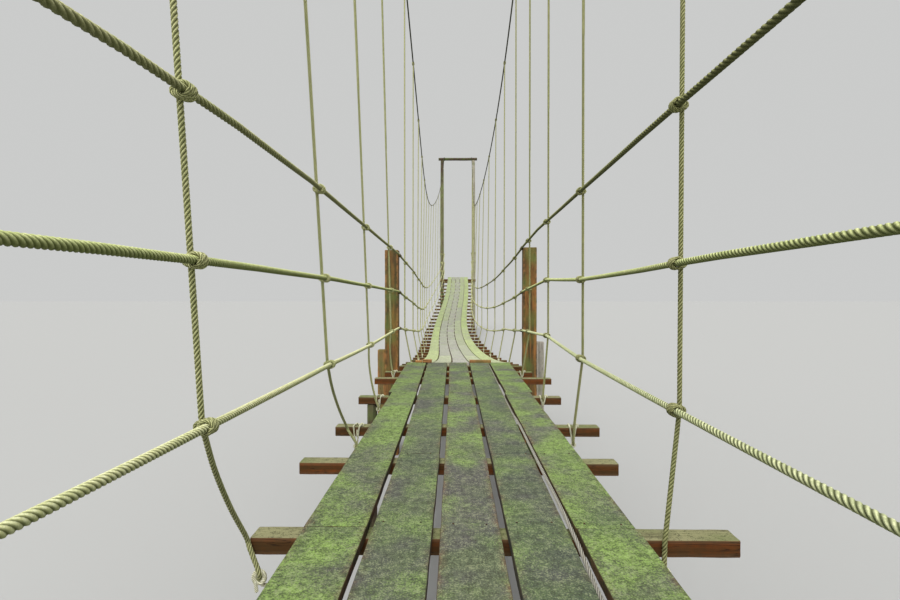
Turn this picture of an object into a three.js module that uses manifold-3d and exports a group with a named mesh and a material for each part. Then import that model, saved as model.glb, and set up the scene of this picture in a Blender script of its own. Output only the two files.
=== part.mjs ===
// Rope suspension footbridge: plank deck on cross beams, three rope rails a side,
// and hangers from two main cables that run between log masts.
// Millimetres. X is across the bridge, Y runs along it away from the viewer, Z is up.
// The feet of the masts, posts and piles are at Z = 0 and the middle of the length is at Y = 0.
import * as THREE from "three";
import { mergeVertices } from "three/addons/utils/BufferGeometryUtils.js";
import Module from "manifold-3d";

const wasm = await Module();
wasm.setup();

// Driving sizes.
const GAP = 0.3; // clearance that touching pieces keep
const VIEW_Y = -16060; // where the viewer stands; stations are measured from there
const NEAR_DECK_TOP = 1350;

// deck planks
const PLANK_ROWS = 5;
const PLANK_WIDE = 250;
const PLANK_THICK = 45;
const PLANK_SPACING = 270.8;
const DECK_START = -1450;
const KINK = 7192;
const DECK_END = 33640;

// masts and the bearers beside them that carry the ends of the planks
const NEAR_MAST = -1400;
const FAR_MAST = 33520;
const MAST_FOOT = 140;
const BEARER_WIDE = 110;
const BEARER_TALL = 170;
const BEARER_HALF = 1190;
const NEAR_WIRE_START = NEAR_MAST + MAST_FOOT + BEARER_WIDE + 2 * GAP;

// boards of the level part, row by row: from, to, left edge at both ends, right edge at both ends
const NEAR_BOARDS = [
  [
    [DECK_START, 2060, -683, -687, -425, -429],
    [2060, 4970, -690, -702, -428, -452],
    [4970, KINK, -735, -772, -458, -497],
  ],
  [
    [DECK_START, 3030, -394, -404, -146, -157],
    [3030, KINK, -402, -472, -160, -194],
  ],
  [
    [DECK_START, 4970, -104, -135, 136, 114],
    [4970, KINK, -136, -162, 108, 88],
  ],
  [
    [DECK_START, 3030, 163, 153, 404, 398],
    [3030, KINK, 152, 126, 396, 392],
  ],
  [
    [DECK_START, 2060, 436, 441, 677, 690],
    [2060, 4970, 437, 422, 684, 676],
    [4970, KINK, 434, 416, 700, 700],
  ],
];
const BOARD_LAP = 1; // neighbours in a row run this far into each other, to be one solid

// the sagging part of the deck is a parabola seen from the side and bows to the left seen from above
const LOW_POINT = 15040;
const LOW_DROP = 482;
const SAG_CURVE = LOW_DROP / (LOW_POINT - KINK) ** 2;
const BOW = 300;
const CABLE_BOW_SHARE = 0.7; // the cables hang in line with the deck, and bow by this share of it

// cross beams
const BEAM_WIDE = 100;
const BEAM_TALL = 72;
const BEAM_HALF = 985;
const KINK_BEAM = KINK - 42;
const KINK_BEAM_EDGE = KINK_BEAM + BEAM_WIDE / 2;
// cross beams of the level part: station, left end, right end
const NEAR_BEAMS = [
  [-650, -960, 1000],
  [250, -1000, 950],
  [1170, -930, 1040],
  [2100, -910, 1107],
  [3030, -1000, 910],
  [3850, -983, 1030],
  [4970, -1027, 972],
  [6090, -1053, 1087],
  [6600, -1000, 934],
  [KINK_BEAM, -872, 875],
];
// piles under those beams: number of the beam, how far out, radius
const PILES = {
  left: [
    [2, 700, 66],
    [6, 897, 50],
  ],
  right: [
    [2, 700, 66],
    [6, 700, 66],
  ],
};
const FIRST_FAR_BEAM = 8250;
const FAR_BEAM_PITCH = 900;
const FAR_BEAM_COUNT = 28;
const BOW_START = FIRST_FAR_BEAM - FAR_BEAM_PITCH / 2;
const BOW_END = BOW_START + FAR_BEAM_COUNT * FAR_BEAM_PITCH;
const BEAMS_PER_LENGTH = 4;
const BEAM_SEAT = 2; // how far the planks of the sagging part bed into their beams
const WIRE_SIZE = 18;
const WIRE_SIDES = 6;
const WIRE_X = PLANK_SPACING * 1.5;
const WIRE_SHORT = 10; // how far before the far end bearer the wire stops
const WIRE_SEAT = 7; // how far the wire beds into the beams
// the wire in the level part: station, how far out
const NEAR_WIRE = [
  [NEAR_WIRE_START, 418],
  [2060, 420],
  [4970, 411],
  [KINK, 405.5],
];

// rope rails
const RAIL_SIZE = 30;
const RAIL_X = 888.5;
const RAIL_SIDES = 6;
// rails above the planks: station and height at each change, the last height holding to the far mast
const RAIL_HEIGHTS = {
  left: {
    low: [
      [NEAR_MAST, 557],
      [1690, 516],
      [3450, 501],
      [4780, 480],
      [KINK, 496],
      [9600, 548],
      [13200, 515],
      [16800, 470],
    ],
    middle: [
      [NEAR_MAST, 1020],
      [1170, 1068],
      [2100, 1073],
      [3450, 1069],
      [KINK, 1021],
      [9600, 1085],
      [13200, 1075],
      [16800, 1010],
    ],
    top: [
      [NEAR_MAST, 1370],
      [1250, 1577],
      [1900, 1604],
      [2850, 1615],
      [4780, 1590],
      [KINK, 1556],
      [9600, 1700],
      [13200, 1780],
      [16800, 1710],
      [20400, 1600],
    ],
  },
  right: {
    low: [
      [NEAR_MAST, 461],
      [2180, 460],
      [3820, 474],
      [5250, 539],
      [KINK, 462],
      [9600, 574],
      [13200, 510],
      [16800, 463],
    ],
    middle: [
      [NEAR_MAST, 1106],
      [1800, 1101],
      [2580, 1089],
      [3820, 1080],
      [5250, 1127],
      [KINK, 1021],
      [9600, 1091],
      [16800, 1095],
    ],
    top: [
      [NEAR_MAST, 1776],
      [2600, 1772],
      [5870, 1733],
      [KINK, 1662],
      [9600, 1747],
      [13200, 1740],
      [16800, 1670],
    ],
  },
};

// hangers and main cables
const HANGER_SIZE = 22;
const HANGER_X = RAIL_X + RAIL_SIZE / 2 + HANGER_SIZE / 2 + GAP;
const HANGER_FOOT_X = 805;
const HANGER_REACH = 66; // a hanger of the level part comes down this far before its beam's middle
// hangers of the level part: station at the low rail, how far each metre up leans back towards the near
// end in metres, number of the beam it is tied to, how far out it is at the top of that beam and where it
// is knotted, and how far below the top of the planks the knot hangs
const NEAR_HANGERS = {
  left: [
    [-750, 0.03, 0, 880, 830, 180],
    [300, 0.08, 1, 880, 830, 180],
    [1675, 0.12, 3, 919, 864, 203],
    [3310, 0.22, 5, 894, 820, 188],
    [4870, 0.22, 6, 861, 828, 160],
    [6500, 0.19, 8, 900, 890, 75],
  ],
  right: [
    [-750, 0, 0, 830, 800, 180],
    [500, 0, 1, 830, 800, 180],
    [2185, 0.01, 3, 792, 785, 180],
    [3860, 0, 5, 832, 825, 170],
    [5320, 0, 6, 790, 790, 75],
    [6680, 0, 8, 800, 796, 75],
  ],
};
const HANGER_CLEARS_BEAM = 10; // height over the beam's top where a hanger bends down its front
const FAR_HANGER_COUNT = 14;
const HANGER_ROUNDS = 12; // steps that settle where a leaning hanger meets the cable
const CABLE_SIZE = 26;
const CABLE_LOW_STATION = 17300;
const CABLE_LOW_TOP = 5805;
const CABLE_CURVE = 0.000022;
const CABLE_STEP = 1100; // about how long each straight piece of the cable's curve is

// masts and posts
const MAST_HEAD = 112;
const MAST_SIDES = 12;
const MAST_X = RAIL_X + RAIL_SIZE / 2 + GAP + MAST_FOOT;
const MAST_EVEN_ABOVE_RAIL = 400;
const HEAD_BAR_RADIUS = 95;
const HEAD_BAR_HALF = 1285;
const POST_WIDE = 190;
const POST_X = RAIL_X + RAIL_SIZE / 2 + GAP + POST_WIDE / 2;
const POST_TOP = { left: 1620, right: 1655 };
const STUB_WIDE = 105;
const STUB_TOP = { left: 177, right: 295 };

// Heights and places along the bridge.
function y(station) {
  return VIEW_Y + station;
}

function deckTop(station) {
  if (station <= KINK) {
    return NEAR_DECK_TOP;
  }
  return NEAR_DECK_TOP - LOW_DROP + SAG_CURVE * (station - LOW_POINT) ** 2;
}

function bow(station) {
  const share = (station - BOW_START) / (BOW_END - BOW_START);
  return share <= 0 || share >= 1 ? 0 : -BOW * Math.sin(Math.PI * share) ** 2;
}

function cableHeight(station) {
  return CABLE_LOW_TOP + CABLE_CURVE * (station - CABLE_LOW_STATION) ** 2;
}

function cableAt(side, station) {
  return at(side * HANGER_X + bow(station) * CABLE_BOW_SHARE, station, cableHeight(station));
}

function spread(from, to, steps) {
  const list = [];
  for (let i = 0; i <= steps; i += 1) {
    list.push(from + ((to - from) * i) / steps);
  }
  return list;
}

// stations of the corners that stand in for the sagging curve, each midway between two beams
const SAG_CORNERS = spread(BOW_START, BOW_END, FAR_BEAM_COUNT / 2);
const DECK_STATIONS = [DECK_START, KINK, ...SAG_CORNERS, DECK_END];

// the straight stretch of the built deck that a station lies on
function stretch(station) {
  const found = DECK_STATIONS.findIndex((s, i) => i > 0 && station <= s);
  const end = found < 0 ? DECK_STATIONS.length - 1 : found;
  return [DECK_STATIONS[end - 1], DECK_STATIONS[end]];
}

function builtSlope(station) {
  const [a, b] = stretch(station);
  return (deckTop(b) - deckTop(a)) / (b - a);
}

function builtBow(station) {
  const [a, b] = stretch(station);
  return bow(a) + ((bow(b) - bow(a)) * (station - a)) / (b - a);
}

// height of the deck as built, straight between those corners
function builtDeckTop(station) {
  const [a] = stretch(station);
  return deckTop(a) + builtSlope(station) * (station - a);
}

// height of a rail above the planks, straight between the stations of its table
function railHeight(hand, level, station) {
  const table = RAIL_HEIGHTS[hand][level];
  const next = table.findIndex(([s]) => s >= station);
  if (next < 0) {
    return table[table.length - 1][1];
  }
  const [s1, h1] = table[next];
  const [s0, h0] = table[Math.max(next - 1, 0)];
  return s1 === s0 ? h1 : h0 + ((h1 - h0) * (station - s0)) / (s1 - s0);
}

function railTop(hand, level, station) {
  return builtDeckTop(station) + railHeight(hand, level, station);
}

// Solids.
function solid(geometry) {
  const g = geometry.index ? geometry.toNonIndexed() : geometry.clone();
  g.deleteAttribute("normal");
  g.deleteAttribute("uv");
  const merged = mergeVertices(g, 0.001);
  const mesh = new wasm.Mesh({
    numProp: 3,
    vertProperties: new Float32Array(merged.attributes.position.array),
    triVerts: new Uint32Array(merged.index.array),
  });
  return new wasm.Manifold(mesh);
}

function join(parts) {
  return parts.reduce((sum, part) => sum.add(part));
}

function meshOf(name, body, look) {
  const out = body.getMesh();
  const geometry = new THREE.BufferGeometry();
  const points = new Float32Array(out.vertProperties);
  geometry.setAttribute("position", new THREE.BufferAttribute(points, 3));
  geometry.setIndex(new THREE.BufferAttribute(new Uint32Array(out.triVerts), 1));
  const flat = geometry.toNonIndexed();
  flat.computeVertexNormals();
  const mesh = new THREE.Mesh(flat, new THREE.MeshStandardMaterial(look));
  mesh.name = name;
  return mesh;
}

function box(x0, x1, y0, y1, z0, z1) {
  const g = new THREE.BoxGeometry(x1 - x0, y1 - y0, z1 - z0);
  g.translate((x0 + x1) / 2, (y0 + y1) / 2, (z0 + z1) / 2);
  return solid(g);
}

// closed solid through a row of rings, each ring a list of points in the same order
function loft(rings) {
  const sides = rings[0].length;
  const points = rings.flat().flatMap((p) => [p.x, p.y, p.z]);
  const faces = [];
  for (let r = 0; r + 1 < rings.length; r += 1) {
    for (let i = 0; i < sides; i += 1) {
      const a = r * sides + i;
      const b = r * sides + ((i + 1) % sides);
      faces.push(a, b, b + sides, a, b + sides, a + sides);
    }
  }
  const last = (rings.length - 1) * sides;
  for (let i = 1; i + 1 < sides; i += 1) {
    faces.push(0, i + 1, i, last, last + i, last + i + 1);
  }
  const mesh = new wasm.Mesh({
    numProp: 3,
    vertProperties: new Float32Array(points),
    triVerts: new Uint32Array(faces),
  });
  return new wasm.Manifold(mesh);
}

// the same solid whichever way round its rings were listed
function outward(rings) {
  const body = loft(rings);
  return body.volume() > 0 ? body : loft(rings.map((ring) => ring.slice().reverse()));
}

// a round bar along a path of points, mitred at each corner
function bar(path, radii, sides, turn = 0.5) {
  const up = new THREE.Vector3(0, 0, 1);
  const along = new THREE.Vector3(0, 1, 0);
  const rings = path.map((p, i) => {
    const before = path[Math.max(i - 1, 0)];
    const after = path[Math.min(i + 1, path.length - 1)];
    const t = new THREE.Vector3().subVectors(after, before).normalize();
    const rough = Math.abs(t.z) > 0.8 ? along : up;
    const side = new THREE.Vector3().crossVectors(t, rough).normalize();
    const top = new THREE.Vector3().crossVectors(side, t).normalize();
    const radius = Array.isArray(radii) ? radii[i] : radii;
    const ring = [];
    for (let k = 0; k < sides; k += 1) {
      const angle = ((k + turn) / sides) * Math.PI * 2;
      const r = radius / Math.cos(Math.PI / sides);
      ring.push(
        p
          .clone()
          .addScaledVector(side, r * Math.cos(angle))
          .addScaledVector(top, r * Math.sin(angle)),
      );
    }
    return ring;
  });
  return outward(rings);
}

function at(x, station, z) {
  return new THREE.Vector3(x, y(station), z);
}

// a round line that runs along the bridge, its ends cut upright so that lengths meet
function longLine(path, radius, sides) {
  const rings = path.map((p, i) => {
    const before = path[Math.max(i - 1, 0)];
    const after = path[Math.min(i + 1, path.length - 1)];
    const slope = Math.atan2(after.z - before.z, after.y - before.y);
    const r = radius / Math.cos(Math.PI / sides);
    const ring = [];
    for (let k = 0; k < sides; k += 1) {
      const angle = ((k + 0.5) / sides) * Math.PI * 2;
      const lift = (r * Math.sin(angle)) / Math.cos(slope);
      ring.push(new THREE.Vector3(p.x + r * Math.cos(angle), p.y, p.z + lift));
    }
    return ring;
  });
  return outward(rings);
}

function seat(station) {
  return station > KINK ? BEAM_SEAT + GAP : 0;
}

// a box turned about X so that it lies on the slope of the deck, its top under the planks
function beamBox(x0, x1, station, wide, tall, above = 0) {
  const g = new THREE.BoxGeometry(x1 - x0, wide, tall);
  g.translate((x0 + x1) / 2, 0, above + seat(station) - tall / 2 - PLANK_THICK - GAP);
  g.rotateX(Math.atan(builtSlope(station)));
  const dip = Math.min(0, builtDeckTop(station + wide / 2) - builtDeckTop(station));
  g.translate(0, y(station), builtDeckTop(station) + (builtSlope(station) === 0 ? dip : 0));
  return solid(g);
}

// The deck.
function boardRings(stations, left, right) {
  return stations.map((s, i) => [
    at(left[i], s, deckTop(s)),
    at(left[i], s, deckTop(s) - PLANK_THICK),
    at(right[i], s, deckTop(s) - PLANK_THICK),
    at(right[i], s, deckTop(s)),
  ]);
}

function nearRow(boards) {
  return join(
    boards.map(([from, to, left0, left1, right0, right1]) => {
      const end = to === KINK ? KINK - GAP : to + BOARD_LAP;
      return outward(boardRings([from, end], [left0, left1], [right0, right1]));
    }),
  );
}

function farRow(row, stations) {
  const x = (row - (PLANK_ROWS - 1) / 2) * PLANK_SPACING;
  const left = stations.map((s) => x + bow(s) - PLANK_WIDE / 2);
  const right = stations.map((s) => x + bow(s) + PLANK_WIDE / 2);
  return outward(boardRings(stations, left, right));
}

function farBeams() {
  return Array.from({ length: FAR_BEAM_COUNT }, (_, i) => FIRST_FAR_BEAM + i * FAR_BEAM_PITCH);
}

function crossBeam(station, left, right) {
  return beamBox(left, right, station, BEAM_WIDE, BEAM_TALL);
}

// the wire rope on the beams, in the gap beside the right outer row of planks;
// each place is a station and how far out the wire is there
function carryingWire(places) {
  const lift = WIRE_SIZE / 2 - WIRE_SEAT - PLANK_THICK - GAP;
  const points = places.map(([s, x]) => at(x, s, builtDeckTop(s) + lift));
  return longLine(points, WIRE_SIZE / 2, WIRE_SIDES);
}

function nearBeams() {
  const beams = NEAR_BEAMS.map(([s, left, right]) => crossBeam(s, left, right));
  return join([...beams, carryingWire(NEAR_WIRE)]);
}

// one length of the sagging deck: planks, the cross beams that carry them and the wire
function farDeck(from, to) {
  const corners = [from, ...DECK_STATIONS.filter((s) => s > from && s < to), to];
  const rows = spread(0, PLANK_ROWS - 1, PLANK_ROWS - 1).map((row) => farRow(row, corners));
  const beams = farBeams()
    .filter((s) => s > from && s < to)
    .map((s) => crossBeam(s, builtBow(s) - BEAM_HALF, builtBow(s) + BEAM_HALF));
  const start = Math.max(from, KINK_BEAM_EDGE + GAP);
  const end = Math.min(to, FAR_MAST - MAST_FOOT - BEARER_WIDE - WIRE_SHORT);
  const stations = [start, ...corners.slice(1, -1), end];
  const wire = carryingWire(stations.map((s) => [s, WIRE_X + builtBow(s)]));
  return join([...beams, wire, ...rows]);
}

// Rails, hangers and main cables.
function rail(name, side, hand, level) {
  const changes = RAIL_HEIGHTS[hand][level].map(([s]) => s).filter((s) => s < KINK);
  const path = [...changes, ...DECK_STATIONS.slice(1, -1), FAR_MAST];
  const points = path.map((s) => at(side * RAIL_X + builtBow(s), s, railTop(hand, level, s)));
  return meshOf(name, longLine(points, RAIL_SIZE / 2, RAIL_SIDES), {
    color: 0xb9b184,
    roughness: 0.9,
    metalness: 0,
  });
}

// loop of the hanger round a cross beam, square like the beam
function beamLoop(x, station) {
  const x0 = x - HANGER_SIZE / 2;
  const x1 = x + HANGER_SIZE / 2;
  const thick = HANGER_SIZE * 0.9;
  const outer = beamBox(
    x0,
    x1,
    station,
    BEAM_WIDE + 2 * (GAP + thick),
    BEAM_TALL + 2 * (GAP + thick),
    GAP + thick,
  );
  const inner = beamBox(
    x0 - 1,
    x1 + 1,
    station,
    BEAM_WIDE + 2 * GAP,
    BEAM_TALL + 2 * GAP,
    GAP,
  );
  return outer.subtract(inner);
}

// a hanger of one side: its places at the cable and at the rails, and its ways down to its beam
function hangerOf(side, hand, low, lean, foot, footX, ends) {
  const bottom = railTop(hand, "low", low) - RAIL_SIZE;
  let top = low;
  for (let i = 0; i < HANGER_ROUNDS; i += 1) {
    top = low - lean * (cableHeight(top) - bottom);
  }
  const bend = low - lean * (railHeight(hand, "top", low) - railHeight(hand, "low", low));
  return { side, hand, low, top, bend, foot, footX, ends };
}

// a hanger of the level part bends over the front edge of its beam and hangs down to its knot
function nearEnds(foot, edgeX, knotX, drop) {
  const front = foot - HANGER_REACH;
  const beamTop = NEAR_DECK_TOP - PLANK_THICK;
  return [at(edgeX, front, beamTop + HANGER_CLEARS_BEAM), at(knotX, front, NEAR_DECK_TOP - drop)];
}

// a hanger of the sagging part ends on top of its beam
function farEnds(foot, footX) {
  return [at(footX, foot, builtDeckTop(foot) - PLANK_THICK + HANGER_SIZE * 0.4)];
}

function hangerList(side, hand) {
  const near = NEAR_HANGERS[hand].map(([low, lean, beam, edge, knot, drop]) => {
    const [foot] = NEAR_BEAMS[beam];
    const ends = nearEnds(foot, side * edge, side * knot, drop);
    return hangerOf(side, hand, low, lean, foot, side * knot, ends);
  });
  const far = Array.from({ length: FAR_HANGER_COUNT }, (_, i) => {
    const s = FIRST_FAR_BEAM + 2 * i * FAR_BEAM_PITCH;
    const footX = side * HANGER_FOOT_X + builtBow(s);
    return hangerOf(side, hand, s, 0, s, footX, farEnds(s, footX));
  });
  return [...near, ...far];
}

function hanger({ side, hand, low, top, bend, ends }) {
  const x = side * HANGER_X + builtBow(low);
  const points = [
    cableAt(side, top),
    at(x, bend, railTop(hand, "top", bend) + RAIL_SIZE),
    at(x, low, railTop(hand, "low", low) - RAIL_SIZE),
    ...ends,
  ];
  return bar(points, HANGER_SIZE / 2, 6);
}

// where a knot hangs below its beam, the leg that runs up from it to the loop
function loopLeg({ foot, footX, ends }) {
  const knot = ends[ends.length - 1];
  const loopBottom = builtDeckTop(foot) - PLANK_THICK - BEAM_TALL - 2 * GAP - HANGER_SIZE / 2;
  return knot.z < loopBottom - HANGER_SIZE / 2
    ? [bar([knot, at(footX, foot - BEAM_WIDE / 2 - HANGER_SIZE / 2, loopBottom)], HANGER_SIZE / 2, 6)]
    : [];
}

// the bend where the cable leaves the head bar: how far out and up from the bar's middle
function cableTake(station, facing) {
  const slope = 2 * CABLE_CURVE * Math.abs(station - CABLE_LOW_STATION);
  const lean = Math.atan(slope);
  const reach = (HEAD_BAR_RADIUS + GAP + CABLE_SIZE / 2) / Math.cos(Math.PI / MAST_SIDES) + 3;
  return { out: facing * reach * Math.sin(lean), up: reach * Math.cos(lean) };
}

function headBarCentre(station, facing) {
  const take = cableTake(station, facing);
  return cableHeight(station + take.out) - take.up;
}

// the eye that holds the cable's end round the head bar of a pair of masts
function cableEye(side, station, facing) {
  const z = headBarCentre(station, facing);
  const span = (half) => [
    at(side * HANGER_X - half, station, z),
    at(side * HANGER_X + half, station, z),
  ];
  const outer = bar(span(CABLE_SIZE / 2), HEAD_BAR_RADIUS + GAP + CABLE_SIZE, MAST_SIDES);
  return outer.subtract(bar(span(CABLE_SIZE), HEAD_BAR_RADIUS + GAP, MAST_SIDES));
}

// one length of main cable with the hangers that it carries
function cableLength(name, side, hand, from, to) {
  const start = from === NEAR_MAST ? from + cableTake(from, 1).out : from;
  const end = to === FAR_MAST ? to + cableTake(to, -1).out : to;
  const steps = Math.round((to - from) / CABLE_STEP);
  const path = spread(start, end, steps).map((s) => cableAt(side, s));
  const parts = [longLine(path, CABLE_SIZE / 2, 6)];
  if (from === NEAR_MAST) {
    parts.push(cableEye(side, from, 1));
  }
  if (to === FAR_MAST) {
    parts.push(cableEye(side, to, -1));
  }
  hangerList(side, hand)
    .filter(({ top }) => top > from && top < to)
    .forEach((line) => {
      parts.push(hanger(line), beamLoop(line.footX, line.foot), ...loopLeg(line));
    });
  return meshOf(name, join(parts), { color: 0xaaa67c, roughness: 0.9, metalness: 0 });
}

// Masts, posts, stubs and bearers.
// a log that is even up past the rails and tapers from there to its head
function mast(name, side, station, facing) {
  const top = headBarCentre(station, facing) - HEAD_BAR_RADIUS - GAP;
  const hand = side < 0 ? "left" : "right";
  const even = railTop(hand, "top", station) + MAST_EVEN_ABOVE_RAIL;
  const rings = [
    [0, MAST_FOOT],
    [even, MAST_FOOT],
    [top, MAST_HEAD],
  ].map(([height, flat]) => {
    const corner = flat / Math.cos(Math.PI / MAST_SIDES);
    const ring = [];
    for (let k = 0; k < MAST_SIDES; k += 1) {
      const angle = ((k + 0.5) / MAST_SIDES) * Math.PI * 2;
      const x = side * MAST_X + corner * Math.cos(angle);
      ring.push(new THREE.Vector3(x, y(station) + corner * Math.sin(angle), height));
    }
    return ring;
  });
  return meshOf(name, outward(rings), { color: 0x8d7a60, roughness: 0.9, metalness: 0 });
}

function headBar(name, station, facing) {
  const z = headBarCentre(station, facing);
  const points = [at(-HEAD_BAR_HALF, station, z), at(HEAD_BAR_HALF, station, z)];
  return meshOf(name, bar(points, HEAD_BAR_RADIUS, MAST_SIDES), {
    color: 0x8d7a60,
    roughness: 0.9,
    metalness: 0,
  });
}

// the beam across a pair of masts that the ends of the planks rest on
function endBearer(name, station, facing) {
  const middle = station + facing * (MAST_FOOT + BEARER_WIDE / 2);
  const fall = (Math.abs(builtSlope(middle)) * BEARER_WIDE) / 2;
  const top = builtDeckTop(middle) - PLANK_THICK - GAP - fall;
  const near = y(station) + facing * (MAST_FOOT + GAP);
  const far = near + facing * BEARER_WIDE;
  const body = box(
    -BEARER_HALF,
    BEARER_HALF,
    Math.min(near, far),
    Math.max(near, far),
    top - BEARER_TALL,
    top,
  );
  return meshOf(name, body, { color: 0x6b5a48, roughness: 0.9, metalness: 0 });
}

function railPost(name, side, hand) {
  const near = y(KINK_BEAM_EDGE) + GAP;
  const body = box(
    side * POST_X - POST_WIDE / 2,
    side * POST_X + POST_WIDE / 2,
    near,
    near + POST_WIDE,
    0,
    NEAR_DECK_TOP + POST_TOP[hand],
  );
  return meshOf(name, body, { color: 0x9a5a30, roughness: 0.85, metalness: 0 });
}

// the stub pile bolted to the outer side of a rail post
function stub(name, side, hand) {
  const near = y(KINK_BEAM_EDGE) + GAP;
  const inner = POST_X + POST_WIDE / 2 + GAP;
  const x0 = side > 0 ? inner : -inner - STUB_WIDE;
  const top = NEAR_DECK_TOP + STUB_TOP[hand];
  const body = box(x0, x0 + STUB_WIDE, near, near + STUB_WIDE, 0, top);
  return meshOf(name, body, { color: 0xa89c88, roughness: 0.9, metalness: 0 });
}

// round pile under the end of a near cross beam
function pile(name, x, station, radius) {
  const top = NEAR_DECK_TOP - PLANK_THICK - BEAM_TALL - 2 * GAP;
  const points = [at(x, station, 0), at(x, station, top)];
  return meshOf(name, bar(points, radius, 10), {
    color: 0x7a5f42,
    roughness: 0.9,
    metalness: 0,
  });
}

// The whole bridge.
const bridge = new THREE.Group();
bridge.name = "rope_suspension_footbridge";

const plankLook = { color: 0x8a9068, roughness: 0.9, metalness: 0 };
NEAR_BOARDS.forEach((boards, row) => {
  bridge.add(meshOf(`near_planks_${row + 1}`, nearRow(boards), plankLook));
});
bridge.add(meshOf("near_beams", nearBeams(), { color: 0x6b5a48, roughness: 0.9, metalness: 0 }));

for (let k = 0; k < FAR_BEAM_COUNT / BEAMS_PER_LENGTH; k += 1) {
  const first = FIRST_FAR_BEAM + (k * BEAMS_PER_LENGTH - 0.5) * FAR_BEAM_PITCH;
  const last = first + BEAMS_PER_LENGTH * FAR_BEAM_PITCH;
  const from = k === 0 ? KINK : first + GAP / 2;
  const to = (k + 1) * BEAMS_PER_LENGTH === FAR_BEAM_COUNT ? DECK_END : last - GAP / 2;
  bridge.add(meshOf(`far_deck_${k + 1}`, farDeck(from, to), plankLook));
}

const cableCuts = [NEAR_MAST, 4400, 11000, 21800, FAR_MAST];
[-1, 1].forEach((side) => {
  const hand = side < 0 ? "left" : "right";
  ["low", "middle", "top"].forEach((level) => {
    bridge.add(rail(`${level}_rail_${hand}`, side, hand, level));
  });
  for (let k = 0; k + 1 < cableCuts.length; k += 1) {
    const from = k === 0 ? NEAR_MAST : cableCuts[k] + GAP / 2;
    const to = k + 2 === cableCuts.length ? FAR_MAST : cableCuts[k + 1] - GAP / 2;
    bridge.add(cableLength(`cable_and_hangers_${hand}_${k + 1}`, side, hand, from, to));
  }
  bridge.add(railPost(`rail_post_${hand}`, side, hand));
  bridge.add(stub(`stub_pile_${hand}`, side, hand));
  PILES[hand].forEach(([beam, out, radius], i) => {
    bridge.add(pile(`beam_pile_${hand}_${i + 1}`, side * out, NEAR_BEAMS[beam][0], radius));
  });
  bridge.add(mast(`near_mast_${hand}`, side, NEAR_MAST, 1));
  bridge.add(mast(`far_mast_${hand}`, side, FAR_MAST, -1));
});
bridge.add(headBar("near_head_bar", NEAR_MAST, 1));
bridge.add(headBar("far_head_bar", FAR_MAST, -1));
bridge.add(endBearer("near_end_bearer", NEAR_MAST, 1));
bridge.add(endBearer("far_end_bearer", FAR_MAST, -1));

export default bridge;
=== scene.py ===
# Looks of a rope suspension footbridge: mossy boards on cross beams, laid rope rails and hangers, log masts.
# Metres. X is across the bridge, Y runs along it away from the viewer, Z is up. A station is a distance
# along the bridge from where the viewer stands.
import math

import bpy
import numpy as np
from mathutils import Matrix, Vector


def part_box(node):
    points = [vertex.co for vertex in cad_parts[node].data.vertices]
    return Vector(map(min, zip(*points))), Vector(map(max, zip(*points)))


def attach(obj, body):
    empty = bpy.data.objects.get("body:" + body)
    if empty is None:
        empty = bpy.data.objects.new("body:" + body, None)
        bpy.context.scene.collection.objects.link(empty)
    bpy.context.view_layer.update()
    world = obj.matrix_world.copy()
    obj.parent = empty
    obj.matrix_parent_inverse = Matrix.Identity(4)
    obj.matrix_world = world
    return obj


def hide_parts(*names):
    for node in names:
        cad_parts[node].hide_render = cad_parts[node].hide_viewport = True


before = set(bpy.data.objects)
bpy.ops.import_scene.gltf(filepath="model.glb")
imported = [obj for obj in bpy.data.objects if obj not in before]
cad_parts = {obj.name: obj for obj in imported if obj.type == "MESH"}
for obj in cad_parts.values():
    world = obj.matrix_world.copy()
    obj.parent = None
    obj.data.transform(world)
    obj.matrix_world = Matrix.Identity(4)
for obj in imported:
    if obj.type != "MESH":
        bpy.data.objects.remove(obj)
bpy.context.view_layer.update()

bl_info = {
    "name": "Rope footbridge looks",
    "version": (1, 0, 0),
    "blender": (4, 5, 0),
    "location": "3D View > Sidebar > Footbridge",
    "description": "Dresses the frame of a rope suspension footbridge with weathered timber and laid rope",
    "category": "Object",
}

ACROSS, ALONG, UP = np.eye(3)
TURN = 2 * math.pi
HANDS = {"left": -1, "right": 1}
LEVELS = ("low", "middle", "top")

# Places along the bridge
VIEW_Y = -16.06
DECK_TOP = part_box("near_planks_3")[1].z
DECK_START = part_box("near_planks_3")[0].y - VIEW_Y
KINK = 7.192
DECK_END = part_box("far_deck_7")[1].y - VIEW_Y
LOW_POINT = 15.04
LOW_DROP = 0.482
BOW = 0.3
CABLE_BOW_SHARE = 0.7
FIRST_FAR_BEAM = 8.25
FAR_BEAM_PITCH = 0.9
FAR_BEAM_COUNT = 28
FAR_BEAMS = FIRST_FAR_BEAM + FAR_BEAM_PITCH * np.arange(FAR_BEAM_COUNT)
BOW_START = FIRST_FAR_BEAM - FAR_BEAM_PITCH / 2
BOW_LENGTH = FAR_BEAM_PITCH * FAR_BEAM_COUNT
FAR_DECK = [f"far_deck_{k}" for k in range(1, 8)]
CABLE_NODES = {hand: [f"cable_and_hangers_{hand}_{k}" for k in range(1, 5)] for hand in HANDS}

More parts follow.
